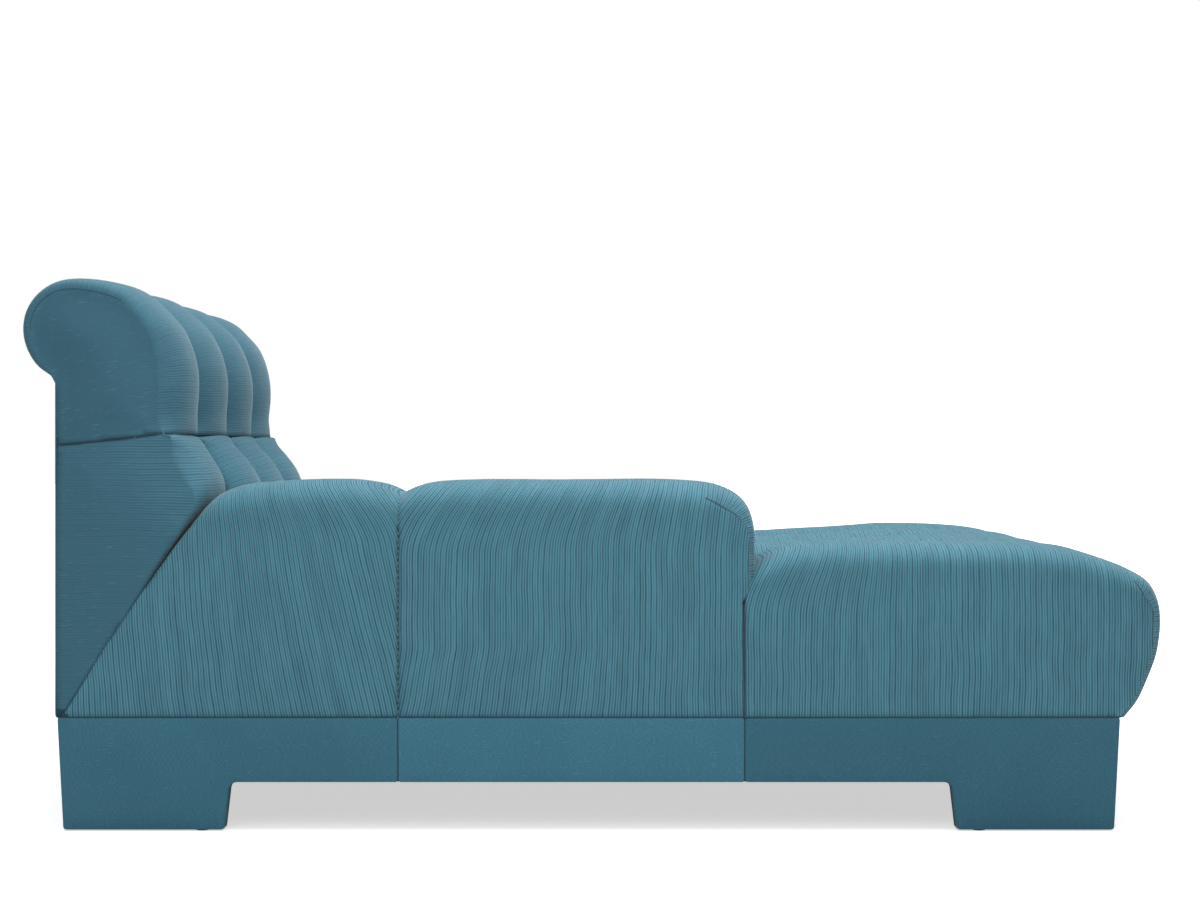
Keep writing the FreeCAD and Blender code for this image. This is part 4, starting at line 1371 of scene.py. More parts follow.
@dataclass
class Shell:
    """The outside back, the foam slab under the seat and the dust cloth under the frame."""

    frame: Frame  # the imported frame's places
    back_inset: float = 0.0015  # how far the outside back's sides lie in from the width of the piece
    # how far it stops short at the bottom and at the top
    back_gaps: tuple[float, float] = (0.0002, 0.0026)
    back_corner: float = 0.006  # the radius of its corners
    slab_edge: float = 0.004  # how wide the slab's edges are rounded
    sag: float = 0.004  # how far the dust cloth hangs in its middle
    ripple: float = 0.0006  # how uneven it is
    cells: tuple[int, int] = (56, 34)  # how many cells it has along and across
    cloth_thickness: float = 0.0008  # how thick the dust cloth is

    def outside_back(self, cloth: Material) -> None:
        """Build the panel that covers the back's rear.

        Args:
            cloth: the plain side of the upholstery cloth.
        """
        _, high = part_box("back_outside_cover")
        half, r, back_x = self.frame.half - self.back_inset, self.back_corner, self.frame.back_x
        low_z, top_z = self.frame.pad_foot_z + self.back_gaps[0], high.z - self.back_gaps[1]
        corners = [(-half, low_z, r), (half, low_z, r), (half, top_z, r), (-half, top_z, r)]
        panel = Panel(corners, depth=0.0021, edge=0.0018, crown=0.0016, step=0.012)
        obj = wrap(
            "back_outside_panel", "back_outside_cover", [panel],
            lambda s, z, depth: (back_x + depth, s, z), cloth,
        )

    def foam_slab(self, foam: Material) -> None:
        """Round the edges of the foam slab under the seat.

        Args:
            foam: its material.
        """
        work = bmesh.new()
        work.from_mesh(frame["nodes"]["seat_foam_base"].data)
        bmesh.ops.remove_doubles(work, verts=work.verts, dist=1e-5)
        bmesh.ops.dissolve_limit(work, angle_limit=math.radians(2), verts=work.verts, edges=work.edges)
        sharp = [e for e in work.edges if e.calc_face_angle(0.0) > math.radians(30)]
        bmesh.ops.bevel(work, geom=sharp, offset=self.slab_edge, segments=2, profile=0.5, affect="EDGES")
        bmesh.ops.recalc_face_normals(work, faces=work.faces)
        mesh = bpy.data.meshes.new("seat_foam_slab")
        work.to_mesh(mesh)
        work.free()
        mesh.shade_smooth()
        obj = add_object("seat_foam_slab", mesh)
        finish_piece(obj, foam, ("seat_foam_base",))

    def dust_cloth(self, felt: Material) -> tuple[float, float]:
        """Stretch the dust cloth under the cleats.

        Args:
            felt: its material.

        Returns:
            Its flat size.
        """
        low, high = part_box("dust_cloth")
        count_x, count_y = self.cells
        top = []
        for i in range(count_x + 1):
            for j in range(count_y + 1):
                s, t = i / count_x, j / count_y
                bow = math.sin(math.pi * s)
                hang = self.sag * (bow * math.sin(math.pi * t)) ** 0.6
                uneven = self.ripple * noise.noise(Vector((9 * s, 6 * t, SEED))) * bow
                z = high.z - hang + uneven
                top.append((low.x + (high.x - low.x) * s, low.y + (high.y - low.y) * t, z))
        count = len(top)
        verts = top + [(x, y, z - self.cloth_thickness) for x, y, z in top]
        faces = []
        wide = count_y + 1
        for a in (i * wide + j for i in range(count_x) for j in range(count_y)):
            cell = (a, a + wide, a + wide + 1, a + 1)
            faces += [cell, tuple(count + c for c in reversed(cell))]
        rim = list(range(wide)) + [i * wide + count_y for i in range(1, count_x + 1)]
        rim += [count_x * wide + j for j in reversed(range(count_y))]
        rim += [i * wide for i in reversed(range(1, count_x))]
        faces += [(a, b, count + b, count + a) for a, b in zip(rim, rim[1:] + rim[:1])]
        obj = make_object("dust_cloth_sheet", verts, faces)
        finish_piece(obj, felt, ("dust_cloth",))
        flat = (high.y - low.y, high.x - low.x)
        return flat


class Sketch:
    """Lays out a shader or geometry tree in few words."""

    def __init__(self, tree: Tree) -> None:
        """Start on an empty tree."""
        self.tree = tree
        tree.nodes.clear()

    def add(self, kind: str, feeds: Optional[dict] = None, **settings: Any) -> Node:
        """Add a node, set its properties and feed its inputs.

        Args:
            kind: the node's type.
            feeds: a socket or a plain value for each input, by the input's name or number.
            settings: the node's properties.

        Returns:
            The node.
        """
        node = self.tree.nodes.new(kind)
        for name, value in settings.items():
            setattr(node, name, value)
        for key, value in (feeds or {}).items():
            self.feed(node.inputs[key], value)
        return node

    def feed(self, socket: Socket, value: Any) -> None:
        """Link a socket into another, or set its plain value.

        Args:
            socket: the input.
            value: a socket or a plain value.
        """
        if isinstance(value, Socket):
            self.tree.links.new(value, socket)
        else:
            socket.default_value = value

    def math(self, operation: str, *values: Any, clamp: bool = False) -> Socket:
        """Add a Math node and return its result."""
        feeds = dict(enumerate(values))
        return self.add("ShaderNodeMath", feeds, operation=operation, use_clamp=clamp).outputs[0]

    def times(self, *values: Any, clamp: bool = False) -> Socket:
        """Multiply two values."""
        return self.math("MULTIPLY", *values, clamp=clamp)

    def plus(self, *values: Any, clamp: bool = False) -> Socket:
        """Add two values."""
        return self.math("ADD", *values, clamp=clamp)

    def ramp(self, value: Any, low: float, high: float) -> Socket:
        """A smooth step from 0 at low to 1 at high."""
        feeds = {"Value": value, "From Min": low, "From Max": high}
        return self.add("ShaderNodeMapRange", feeds, interpolation_type="SMOOTHSTEP").outputs["Result"]

    def vector(self, x: Any, y: Any, z: Any = 0.0) -> Socket:
        """Join three numbers."""
        return self.add("ShaderNodeCombineXYZ", {0: x, 1: y, 2: z}).outputs[0]

    def plane(self, x: Any, x_scale: float, y: Any, y_scale: float) -> Socket:
        """Join two numbers, each scaled, into a place in a plane."""
        return self.vector(self.times(x, x_scale), self.times(y, y_scale))

    def split(self, place: Any) -> Any:
        """Take the three numbers of a place apart."""
        return self.add("ShaderNodeSeparateXYZ", {0: place}).outputs

    def noise(self, place: Any, scale: float, detail: float = 2.0, rough: float = 0.5) -> Socket:
        """A noise between 0 and 1 at a place."""
        feeds = {"Vector": place, "Scale": scale, "Detail": detail, "Roughness": rough}
        return self.add("ShaderNodeTexNoise", feeds).outputs[0]

    def mix(self, share: Any, a: Any, b: Any) -> Socket:
        """Mix two colours."""
        return self.add("ShaderNodeMix", {0: share, 6: a, 7: b}, data_type="RGBA").outputs[2]

    def value(self, name: str) -> Socket:
        """Read a point value of the mesh."""
        return self.add("ShaderNodeAttribute", attribute_name=name, attribute_type="GEOMETRY").outputs["Fac"]

    def place(self) -> Socket:
        """The place on the object."""
        return self.add("ShaderNodeTexCoord").outputs["Object"]

    def cloth(self) -> Socket:
        """The place on the cloth."""
        return self.add("ShaderNodeUVMap", uv_map=CLOTH_UV).outputs[0]


class Sewing:
    """Painted seam shadows and stitches, each laid along a line by a geometry tree."""

    def __init__(self, thread: Material, shadow: Material) -> None:
        """Keep the two materials and make both trees.

        Args:
            thread: the material of the stitches.
            shadow: the material of the dark cords that paint the shade in seams.
        """
        self.thread = thread
        self.shadow = shadow
        self.seam_shadows = self.make_tree("seam_shadow", {"Radius": 0.001, "Step": 0.004}, self.lay_seam_shadow)
        sizes = {"Spacing": 0.008, "Length": 0.004, "Radius": 0.0008}
        self.dashes = self.make_tree("stitches", sizes, self.lay_stitches)

    @staticmethod
    def make_tree(name: str, sizes: dict[str, float], lay: Callable) -> tuple[Tree, dict[str, str]]:
        """Start a geometry tree with named sizes and a material.

        Args:
            name: the tree's name.
            sizes: its inputs and their plain values.
            lay: adds the tree's own nodes, and returns the geometry before the material is set.

        Returns:
            The tree, and the identifier of each input.
        """
        tree = bpy.data.node_groups.new(name, "GeometryNodeTree")
        tree.is_modifier = True
        tree.interface.new_socket("Line", in_out="INPUT", socket_type="NodeSocketGeometry")
        keys = {}
        for key, plain in sizes.items():
            socket = tree.interface.new_socket(key, in_out="INPUT", socket_type="NodeSocketFloat")
            socket.default_value = plain
            keys[key] = socket.identifier
        wears = tree.interface.new_socket("Material", in_out="INPUT", socket_type="NodeSocketMaterial")
        keys["Material"] = wears.identifier
        tree.interface.new_socket("Geometry", in_out="OUTPUT", socket_type="NodeSocketGeometry")
        s = Sketch(tree)
        given = s.add("NodeGroupInput").outputs
        curve = s.add("GeometryNodeMeshToCurve", {"Mesh": given["Line"]})
        real = s.add("GeometryNodeRealizeInstances", {"Geometry": lay(s, given, curve.outputs["Curve"])})
        smooth = s.add("GeometryNodeSetShadeSmooth", {"Geometry": real.outputs["Geometry"]})
        feeds = {"Geometry": smooth.outputs["Geometry"], "Material": given["Material"]}
        painted = s.add("GeometryNodeSetMaterial", feeds)
        s.add("NodeGroupOutput", {"Geometry": painted.outputs["Geometry"]})
        return tree, keys

    @staticmethod
    def lay_seam_shadow(s: Sketch, given: Any, curve: Any) -> Any:
        """Sweep a round dark cord along the line, as painted shade in a seam.

        Args:
            s: the tree's sketch.
            given: what the tree is given.
            curve: the line.

        Returns:
            The geometry.
        """
        feeds = {"Curve": curve, "Length": given["Step"]}
        even = s.add("GeometryNodeResampleCurve", feeds, mode="LENGTH")
        ring = s.add("GeometryNodeCurvePrimitiveCircle", {"Resolution": 6, "Radius": given["Radius"]})
        feeds = {"Curve": even.outputs["Curve"], "Profile Curve": ring.outputs["Curve"], "Fill Caps": True}
        return s.add("GeometryNodeCurveToMesh", feeds).outputs["Mesh"]

    @staticmethod
    def lay_stitches(s: Sketch, given: Any, curve: Any) -> Any:
        """Lay short threads end to end along the line.

        Args:
            s: the tree's sketch.
            given: what the tree is given.
            curve: the line.

        Returns:
            The geometry.
        """
        feeds = {"Curve": curve, "Length": given["Spacing"]}
        even = s.add("GeometryNodeResampleCurve", feeds, mode="LENGTH")
        ball = s.add("GeometryNodeMeshUVSphere", {"Segments": 6, "Rings": 5, "Radius": 1.0})
        along = s.add("GeometryNodeInputTangent").outputs[0]
        turn = s.add("FunctionNodeAlignRotationToVector", {"Vector": along}, axis="Z")
        half = s.times(given["Length"], 0.5)
        feeds = {
            "Points": even.outputs["Curve"], "Instance": ball.outputs["Mesh"],
            "Rotation": turn.outputs["Rotation"], "Scale": s.vector(given["Radius"], given["Radius"], half),
        }
        return s.add("GeometryNodeInstanceOnPoints", feeds).outputs["Instances"]

    @staticmethod
    def run(
        name: str, lines: list[list[Vector]], laid: tuple[Tree, dict[str, str]],
        material: Material, sizes: dict[str, float],
    ) -> None:
        """Lay one tree along lines and keep its mesh.

        Args:
            name: the piece's name.
            lines: the lines to follow.
            laid: the geometry tree and the identifiers of its inputs.
            material: the thread's material.
            sizes: values for the tree's inputs.
        """
        verts, edges_made = [], []
        for line in lines:
            start = len(verts)
            verts.extend(line)
            edges_made.extend((start + i, start + i + 1) for i in range(len(line) - 1))
        mesh = bpy.data.meshes.new(name)
        mesh.from_pydata([tuple(v) for v in verts], edges_made, [])
        obj = add_object(name, mesh)
        tree, keys = laid
        modifier = obj.modifiers.new(name, "NODES")
        modifier.node_group = tree
        modifier[keys["Material"]] = material
        for key, value in sizes.items():
            modifier[keys[key]] = value
        graph = bpy.context.evaluated_depsgraph_get()
        made = bpy.data.meshes.new_from_object(obj.evaluated_get(graph))
        obj.modifiers.clear()
        obj.data = made
        made.name = name
        finish_piece(obj, material)

    def seam_shadow(self, name: str, lines: list[list[Vector]], radius: float) -> None:
        """Lay dark cords along lines, as painted shade in seams."""
        self.run(name, lines, self.seam_shadows, self.shadow, {"Radius": radius})

    def stitches(self, name: str, line: list[Vector], **sizes: float) -> None:
        """Lay stitches along a line."""
        self.run(name, [line], self.dashes, self.thread, sizes)


def new_group(name: str, inputs: dict, outputs: Sequence[str]) -> tuple[Sketch, Any, Any]:
    """Start a shader group.

    Args:
        name: the group's name.
        inputs: its inputs and their plain values. A value of None is a vector.
        outputs: its outputs.

    Returns:
        The sketch of its tree, what its input node puts out, and its output node's inputs.
    """
    tree = bpy.data.node_groups.new(name, "ShaderNodeTree")
    for key, plain in inputs.items():
        kind = "NodeSocketVector" if plain is None else "NodeSocketFloat"
        socket = tree.interface.new_socket(key, in_out="INPUT", socket_type=kind)
        if plain is not None:
            socket.default_value = plain
    for key in outputs:
        tree.interface.new_socket(key, in_out="OUTPUT", socket_type="NodeSocketFloat")
    sketch = Sketch(tree)
    return sketch, sketch.add("NodeGroupInput").outputs, sketch.add("NodeGroupOutput").inputs


def ribs_group() -> Tree:
    """Fine ribs across a cloth, with grooves of uneven depth.

    Returns:
        A group that puts out the mask of the painted shade in the grooves, the height and a slow tone.
    """
    strays = 1.7
    depth, every_second, by_chance, in_patches = 0.36, 0.24, 0.18, 0.16
    beads, bead_height = 4200.0, 0.03
    inputs = {"Cloth": None, "Pitch": 0.00405}
    s, given, result = new_group("ribbed_cloth", inputs, ("Groove Shade", "Height", "Tone"))
    along, across, _ = s.split(given["Cloth"])
    sway = s.noise(s.plane(along, 7.0, across, 11.0), 1.0, 1.0)
    count = s.math("DIVIDE", along, given["Pitch"])
    count = s.plus(count, s.times(s.math("SUBTRACT", sway, 0.5), strays))
    near = s.math("ROUND", count)
    off = s.math("ABSOLUTE", s.math("SUBTRACT", count, near))
    line = s.math("SUBTRACT", 1.0, s.ramp(off, 0.04, 0.44))
    wide = s.math("SUBTRACT", 1.0, s.ramp(off, 0.05, 0.50))
    chance = s.add("ShaderNodeTexWhiteNoise", {"W": near}, noise_dimensions="1D").outputs["Value"]
    every = s.math("MODULO", s.math("ABSOLUTE", near), 2.0)
    patch = s.noise(s.plane(near, 0.63, across, 24.0), 1.0)
    deep = s.plus(s.times(every, every_second), s.times(chance, by_chance))
    deep = s.plus(deep, s.times(s.ramp(patch, 0.36, 0.64), in_patches))
    deep = s.plus(deep, depth, clamp=True)
    # the mask of the painted shade in the grooves, darker where a groove is deeper
    s.feed(result["Groove Shade"], s.times(line, deep, clamp=True))
    bead = s.times(s.math("SINE", s.times(across, beads)), bead_height)
    dip = s.times(wide, s.plus(0.25, s.times(deep, 0.75)))
    s.feed(result["Height"], s.plus(s.math("SUBTRACT", 1.0, dip), bead))
    s.feed(result["Tone"], s.noise(s.plane(near, 0.21, across, 7.0), 1.0, 3.0))
    return s.tree


def slub_group() -> Tree:
    """Short raised threads scattered along a plain cloth.

    Returns:
        A group that puts out the slub mask, the height and the fine weave.
    """
    s, given, result = new_group("slub_cloth", {"Cloth": None, "Length": 0.022}, ("Slub", "Height", "Weave"))
    up, along, _ = s.split(given["Cloth"])
    run = s.math("DIVIDE", along, given["Length"])
    dash = s.ramp(s.noise(s.vector(s.times(up, 520.0), run), 1.0, 1.0), 0.64, 0.76)
    fine = s.noise(s.plane(up, 1500.0, along, 260.0), 1.0, 2.0, 0.65)
    s.feed(result["Slub"], dash)
    s.feed(result["Weave"], fine)
    s.feed(result["Height"], s.plus(s.times(dash, 0.5), fine))
    return s.tree


def grain_group() -> Tree:
    """Long fibres along X with slow growth rings, for timber and board.

    Returns:
        A group that puts out the ring mask, the fibre mask and the height.
    """
    s, given, result = new_group("wood_grain", {"Place": None, "Stretch": 14.0}, ("Ring", "Fibre", "Height"))
    x, y, z = s.split(given["Place"])
    place = s.vector(s.math("DIVIDE", x, given["Stretch"]), y, z)
    fibre = s.noise(place, 420.0, 3.0, 0.6)
    ring = s.math("SINE", s.times(s.noise(place, 22.0), 62.0))
    s.feed(result["Ring"], s.ramp(ring, -0.6, 0.9))
    s.feed(result["Fibre"], fibre)
    s.feed(result["Height"], s.plus(fibre, s.times(ring, 0.15)))
    return s.tree


def srgb(red: int, green: int, blue: int) -> tuple[float, float, float, float]:
    """A screen colour, from 0 to 255 each, as the linear colour that a shader takes.

    Args:
        red: the share of red.
        green: the share of green.
        blue: the share of blue.

    Returns:
        The colour with its alpha.
    """
    shares = [value / 255 for value in (red, green, blue)]
    linear = [s / 12.92 if s <= 0.04045 else ((s + 0.055) / 1.055) ** 2.4 for s in shares]
    return linear[0], linear[1], linear[2], 1.0


def shade(colour: tuple, by: float) -> tuple[float, float, float, float]:
    """A colour made darker or lighter."""
    return colour[0] * by, colour[1] * by, colour[2] * by, 1.0


class Shop:
    """Holds the shared groups and starts each material."""

    def __init__(self) -> None:
        """Build the shared groups."""
        self.ribs = ribs_group()
        self.slubs = slub_group()
        self.grain = grain_group()

    @staticmethod
    def start(name: str, roughness: float, **feeds: Any) -> tuple[Material, Sketch, Node]:
        """Start a material.

        Args:
            name: the material's name.
            roughness: its plain roughness.
            feeds: other plain values of its main shader, with _ for a space.

        Returns:
            The material, the sketch of its tree, and its main shader.
        """
        material = bpy.data.materials.new(name)
        material.use_nodes = True
        s = Sketch(material.node_tree)
        plain = {key.replace("_", " "): value for key, value in feeds.items()}
        shader = s.add("ShaderNodeBsdfPrincipled", {"Roughness": roughness, **plain})
        s.add("ShaderNodeOutputMaterial", {0: shader.outputs[0]})
        return material, s, shader

    @staticmethod
    def use(s: Sketch, group: Tree, place: Any, **values: float) -> Any:
        """Place a shared group in a material and return what it puts out."""
        return s.add("ShaderNodeGroup", {0: place, **values}, node_tree=group).outputs

    @staticmethod
    def bump(s: Sketch, shader: Node, height: Any, distance: float, strength: float = 1.0) -> None:
        """Feed a height into a shader's normal."""
        feeds = {"Strength": strength, "Distance": distance, "Height": height}
        s.feed(shader.inputs["Normal"], s.add("ShaderNodeBump", feeds).outputs[0])


@dataclass(frozen=True)
class Upholstery:
    """The teal cloth, whose ribs show where the point value says so."""

    name: str = "ribbed_upholstery"  # the material's name
    rib: tuple = srgb(90, 147, 165)  # the colour of the ribs
    groove_shade_and_weave: tuple = srgb(30, 62, 77)  # painted shade in the grooves between the ribs, and the darker threads of the fine weave
    plain: tuple = srgb(62, 106, 124)  # the colour where no ribs show
    slub: tuple = srgb(96, 142, 156)  # the colour of the raised threads
    sheen: tuple = srgb(216, 224, 226)  # the colour of the sheen
    seam: tuple = srgb(24, 50, 64)  # painted shade in the creases of darts, seams and panel edges
    pitch: float = 0.00405  # the distance from rib to rib
    rib_depth: float = 0.0007  # how deep the grooves are
    rib_tone: float = 0.86  # how light the darker ribs are
    groove_shade_share: float = 0.92  # how strongly the painted groove shade shows
    slub_share: float = 0.55  # how strongly the slubs are
    weave_share: float = 0.16  # how strongly the fine weave is
    crease_shade_share: float = 0.85  # how strongly the painted crease shade shows
    flat_height: float = 0.06  # how much of the ribs' height is left where none show
    slub_height: float = 0.10  # how high the slubs stand, against the ribs

    def material(self, shop: Shop) -> Material:
        """Build the material.

        Args:
            shop: holds the shared groups.

        Returns:
            The material.
        """
        made, s, shader = shop.start(
            self.name, 0.82,
            Sheen_Weight=0.40, Sheen_Roughness=0.30, Sheen_Tint=self.sheen, Specular_IOR_Level=0.25,
        )
        cloth = s.cloth()
        ribs = shop.use(s, shop.ribs, cloth, Pitch=self.pitch)
        slubs = shop.use(s, shop.slubs, cloth)
        shows = s.value(RIBBING)
        rib = s.mix(s.ramp(ribs["Tone"], 0.30, 0.70), self.rib, shade(self.rib, self.rib_tone))
        # painted shade darkens the grooves between the ribs
        ribbed = s.mix(s.times(ribs["Groove Shade"], self.groove_shade_share), rib, self.groove_shade_and_weave)
        plain = s.mix(s.times(slubs["Slub"], self.slub_share), self.plain, self.slub)
        weave = s.ramp(slubs["Weave"], 0.25, 0.75)
        plain = s.mix(s.times(weave, self.weave_share), plain, self.groove_shade_and_weave)
        colour = s.mix(shows, plain, ribbed)
        # painted shade darkens the marked creases of darts, seams and panel edges
        crease_shade = s.math("POWER", s.value(CREASE), 5.0)
        s.feed(shader.inputs["Base Color"], s.mix(s.times(crease_shade, self.crease_shade_share), colour, self.seam))
        high = s.times(ribs["Height"], s.plus(self.flat_height, s.times(shows, 1 - self.flat_height)))
        high = s.plus(high, s.times(slubs["Height"], self.slub_height))
        shop.bump(s, shader, high, self.rib_depth, 0.85)
        return made


@dataclass(frozen=True)
class PlainCloth:
    """The same cloth turned, so that its ribs hardly show: fine level threads with raised slubs."""

    name: str = "plain_upholstery"  # the material's name
    light: tuple = srgb(72, 127, 147)  # the colour of its lighter threads
    dark: tuple = srgb(50, 98, 117)  # the colour of its darker threads
    slub: tuple = srgb(96, 150, 167)  # the colour of the raised threads
    sheen: tuple = srgb(150, 196, 208)  # the colour of the sheen
    cloud_share: float = 0.22  # how strongly slow clouds darken it
    slub_share: float = 0.28  # how strongly the slubs are coloured

    def material(self, shop: Shop) -> Material:
        """Build the material.

        Args:
            shop: holds the shared groups.

        Returns:
            The material.
        """
        made, s, shader = shop.start(
            self.name, 0.84,
            Sheen_Weight=0.25, Sheen_Roughness=0.45, Sheen_Tint=self.sheen, Specular_IOR_Level=0.25,
        )
        slubs = shop.use(s, shop.slubs, s.cloth(), Length=0.018)
        base = s.mix(s.ramp(slubs["Weave"], 0.22, 0.78), self.light, self.dark)
        cloud = s.ramp(s.noise(s.place(), 9.0, 3.0), 0.3, 0.7)
        base = s.mix(s.times(cloud, self.cloud_share), base, self.dark)
        colour = s.mix(s.times(slubs["Slub"], self.slub_share), base, self.slub)
        # painted light and shade: the colour is scaled by each panel's painted tone
        feeds = {0: colour, "Scale": s.value(PAINTED_LIGHT_TONE)}
        toned = s.add("ShaderNodeVectorMath", feeds, operation="SCALE")
        s.feed(shader.inputs["Base Color"], toned.outputs[0])
        shop.bump(s, shader, slubs["Height"], 0.0004, 0.7)
        return made


@dataclass(frozen=True)
class Thread:
    """Sewing thread, or a dark cord that paints the shade in a seam."""

    name: str  # the material's name
    colour: tuple  # its colour

    def material(self, shop: Shop) -> Material:
        """Build the material.

        Args:
            shop: holds the shared groups.

        Returns:
            The material.
        """
        made, s, shader = shop.start(self.name, 0.7)
        strand = s.ramp(s.noise(s.place(), 900.0), 0.35, 0.65)
        s.feed(shader.inputs["Base Color"], s.mix(strand, shade(self.colour, 0.6), self.colour))
        shop.bump(s, shader, strand, 0.0002, 0.6)
        return made


@dataclass(frozen=True)
class Wood:
    """Timber or plywood, with fibres along the length."""

    name: str  # the material's name
    pale: tuple  # its lighter colour
    dark: tuple  # its darker colour
    stretch: float  # how much longer than wide its fibres are

    def material(self, shop: Shop) -> Material:
        """Build the material.

        Args:
            shop: holds the shared groups.

        Returns:
            The material.
        """
        made, s, shader = shop.start(self.name, 0.6)
        grain = shop.use(s, shop.grain, s.place(), Stretch=self.stretch)
        ringed = s.mix(s.times(grain["Ring"], 0.5), self.pale, self.dark)
        colour = s.mix(s.times(s.ramp(grain["Fibre"], 0.4, 0.7), 0.45), ringed, self.dark)
        s.feed(shader.inputs["Base Color"], colour)
        s.feed(shader.inputs["Roughness"], s.math("MULTIPLY_ADD", grain["Fibre"], 0.25, 0.5))
        shop.bump(s, shader, grain["Height"], 0.0004, 0.5)
        return made


@dataclass(frozen=True)
class Speckled:
    """A material of cells or specks: foam, felted cloth, steel or moulded plastic."""

    name: str  # the material's name
    light: tuple  # the colour of its cells
    dark: tuple  # the colour between them
    scale: float  # how fine the cells are
    depth: float  # how deep they are
    roughness: float  # its mean roughness
    metallic: float = 0.0  # 1 for a metal, else 0

    def material(self, shop: Shop) -> Material:
        """Build the material.

        Args:
            shop: holds the shared groups.

        Returns:
            The material.
        """
        made, s, shader = shop.start(self.name, self.roughness, Metallic=self.metallic)
        place = s.place()
        cells = s.add("ShaderNodeTexVoronoi", {"Vector": place, "Scale": self.scale})
        cell = s.ramp(cells.outputs["Distance"], 0.1, 0.6)
        cloud = s.ramp(s.noise(place, self.scale / 12, 3.0), 0.3, 0.7)
        colour = s.mix(s.times(cloud, 0.3), s.mix(cell, self.dark, self.light), self.dark)
        s.feed(shader.inputs["Base Color"], colour)
        s.feed(shader.inputs["Roughness"], s.math("MULTIPLY_ADD", cloud, 0.12, self.roughness - 0.06))
        shop.bump(s, shader, cell, self.depth, 0.6)
        return made


@dataclass(frozen=True)
class Webbing:
    """Woven jute webbing."""

    name: str = "jute_webbing"  # the material's name
    light: tuple = srgb(196, 174, 134)  # the colour of its threads
    dark: tuple = srgb(128, 104, 70)  # the colour between them
    threads: float = 2100.0  # how close they lie

    def material(self, shop: Shop) -> Material:
        """Build the material.

        Args:
            shop: holds the shared groups.

        Returns:
            The material.
        """
        made, s, shader = shop.start(self.name, 0.9)
        level, upright = [s.math("SINE", s.times(way, self.threads)) for way in list(s.split(s.place()))[1:]]
        weave = s.ramp(s.times(level, upright), -0.7, 0.7)
        s.feed(shader.inputs["Base Color"], s.mix(weave, self.dark, self.light))
        shop.bump(s, shader, weave, 0.0006, 0.8)
        return made


class Finish(Enum):
    """The finishes of the frame's own pieces, each with the nodes that wear it."""

    TIMBER = (
        "seat_rail_arm_side", "seat_rail_open_side", "seat_rail_foot_end", "seat_rail_back_end",
        "seat_cross_braces", "back_post_arm_side", "back_post_open_side", "back_top_rail", "back_lower_rail",
        "plinth_corner_blocks", "plinth_cleats",
    )
    PLYWOOD = (
        "arm_outer_panel", "arm_inner_panel", "arm_top_board", "arm_front_board", "back_board",
        "plinth_panel_arm_side", "plinth_panel_open_side", "plinth_panel_foot_end", "plinth_panel_back_end",
    )
    STEEL = ("seat_springs", "spring_clips", "back_bolts")
    WEBBING = ("back_webbing",)
    PLASTIC = ("foot_glides",)


def dress_frame(shop: Shop) -> None:
    """Give every carried-over node its material.

    Args:
        shop: where the materials are made.
    """
    steel, plastic = (srgb(150, 152, 155), srgb(96, 98, 102)), (srgb(38, 38, 40), srgb(20, 20, 22))
    makers = {
        Finish.TIMBER: Wood("beech_timber", srgb(206, 172, 126), srgb(158, 118, 76), 14.0),
        Finish.PLYWOOD: Wood("birch_plywood", srgb(216, 190, 148), srgb(176, 142, 98), 9.0),
        Finish.STEEL: Speckled("spring_steel", *steel, 240.0, 0.0001, roughness=0.38, metallic=1.0),
        Finish.WEBBING: Webbing(),
        Finish.PLASTIC: Speckled("glide_plastic", *plastic, 700.0, 0.0001, roughness=0.45),
    }
    for finish, maker in makers.items():
        material = maker.material(shop)
        for node in finish.value:
            for slot in frame["nodes"][node].material_slots:
                slot.link = "OBJECT"
                slot.material = material
        log.info("%s: %d nodes", material.name, len(finish.value))


@dataclass(frozen=True)
class Lamp:
    """A large soft lamp, which the camera doesn't see."""

    name: str  # its name
    place: tuple[float, float, float]  # where it hangs
    turn: float  # how far it is turned forwards from facing down, in degrees
    size: tuple[float, float]  # its width and height
    power: float  # its power in watts

    def hang(self) -> None:
        """Add the lamp to the scene."""
        data = bpy.data.lights.new(self.name, "AREA")
        data.shape = "RECTANGLE"
        data.size, data.size_y = self.size
        data.energy = self.power
        obj = add_object(self.name, data)
        obj.location = self.place
        obj.rotation_euler = (math.radians(self.turn), 0.0, 0.0)
        obj.visible_camera = False


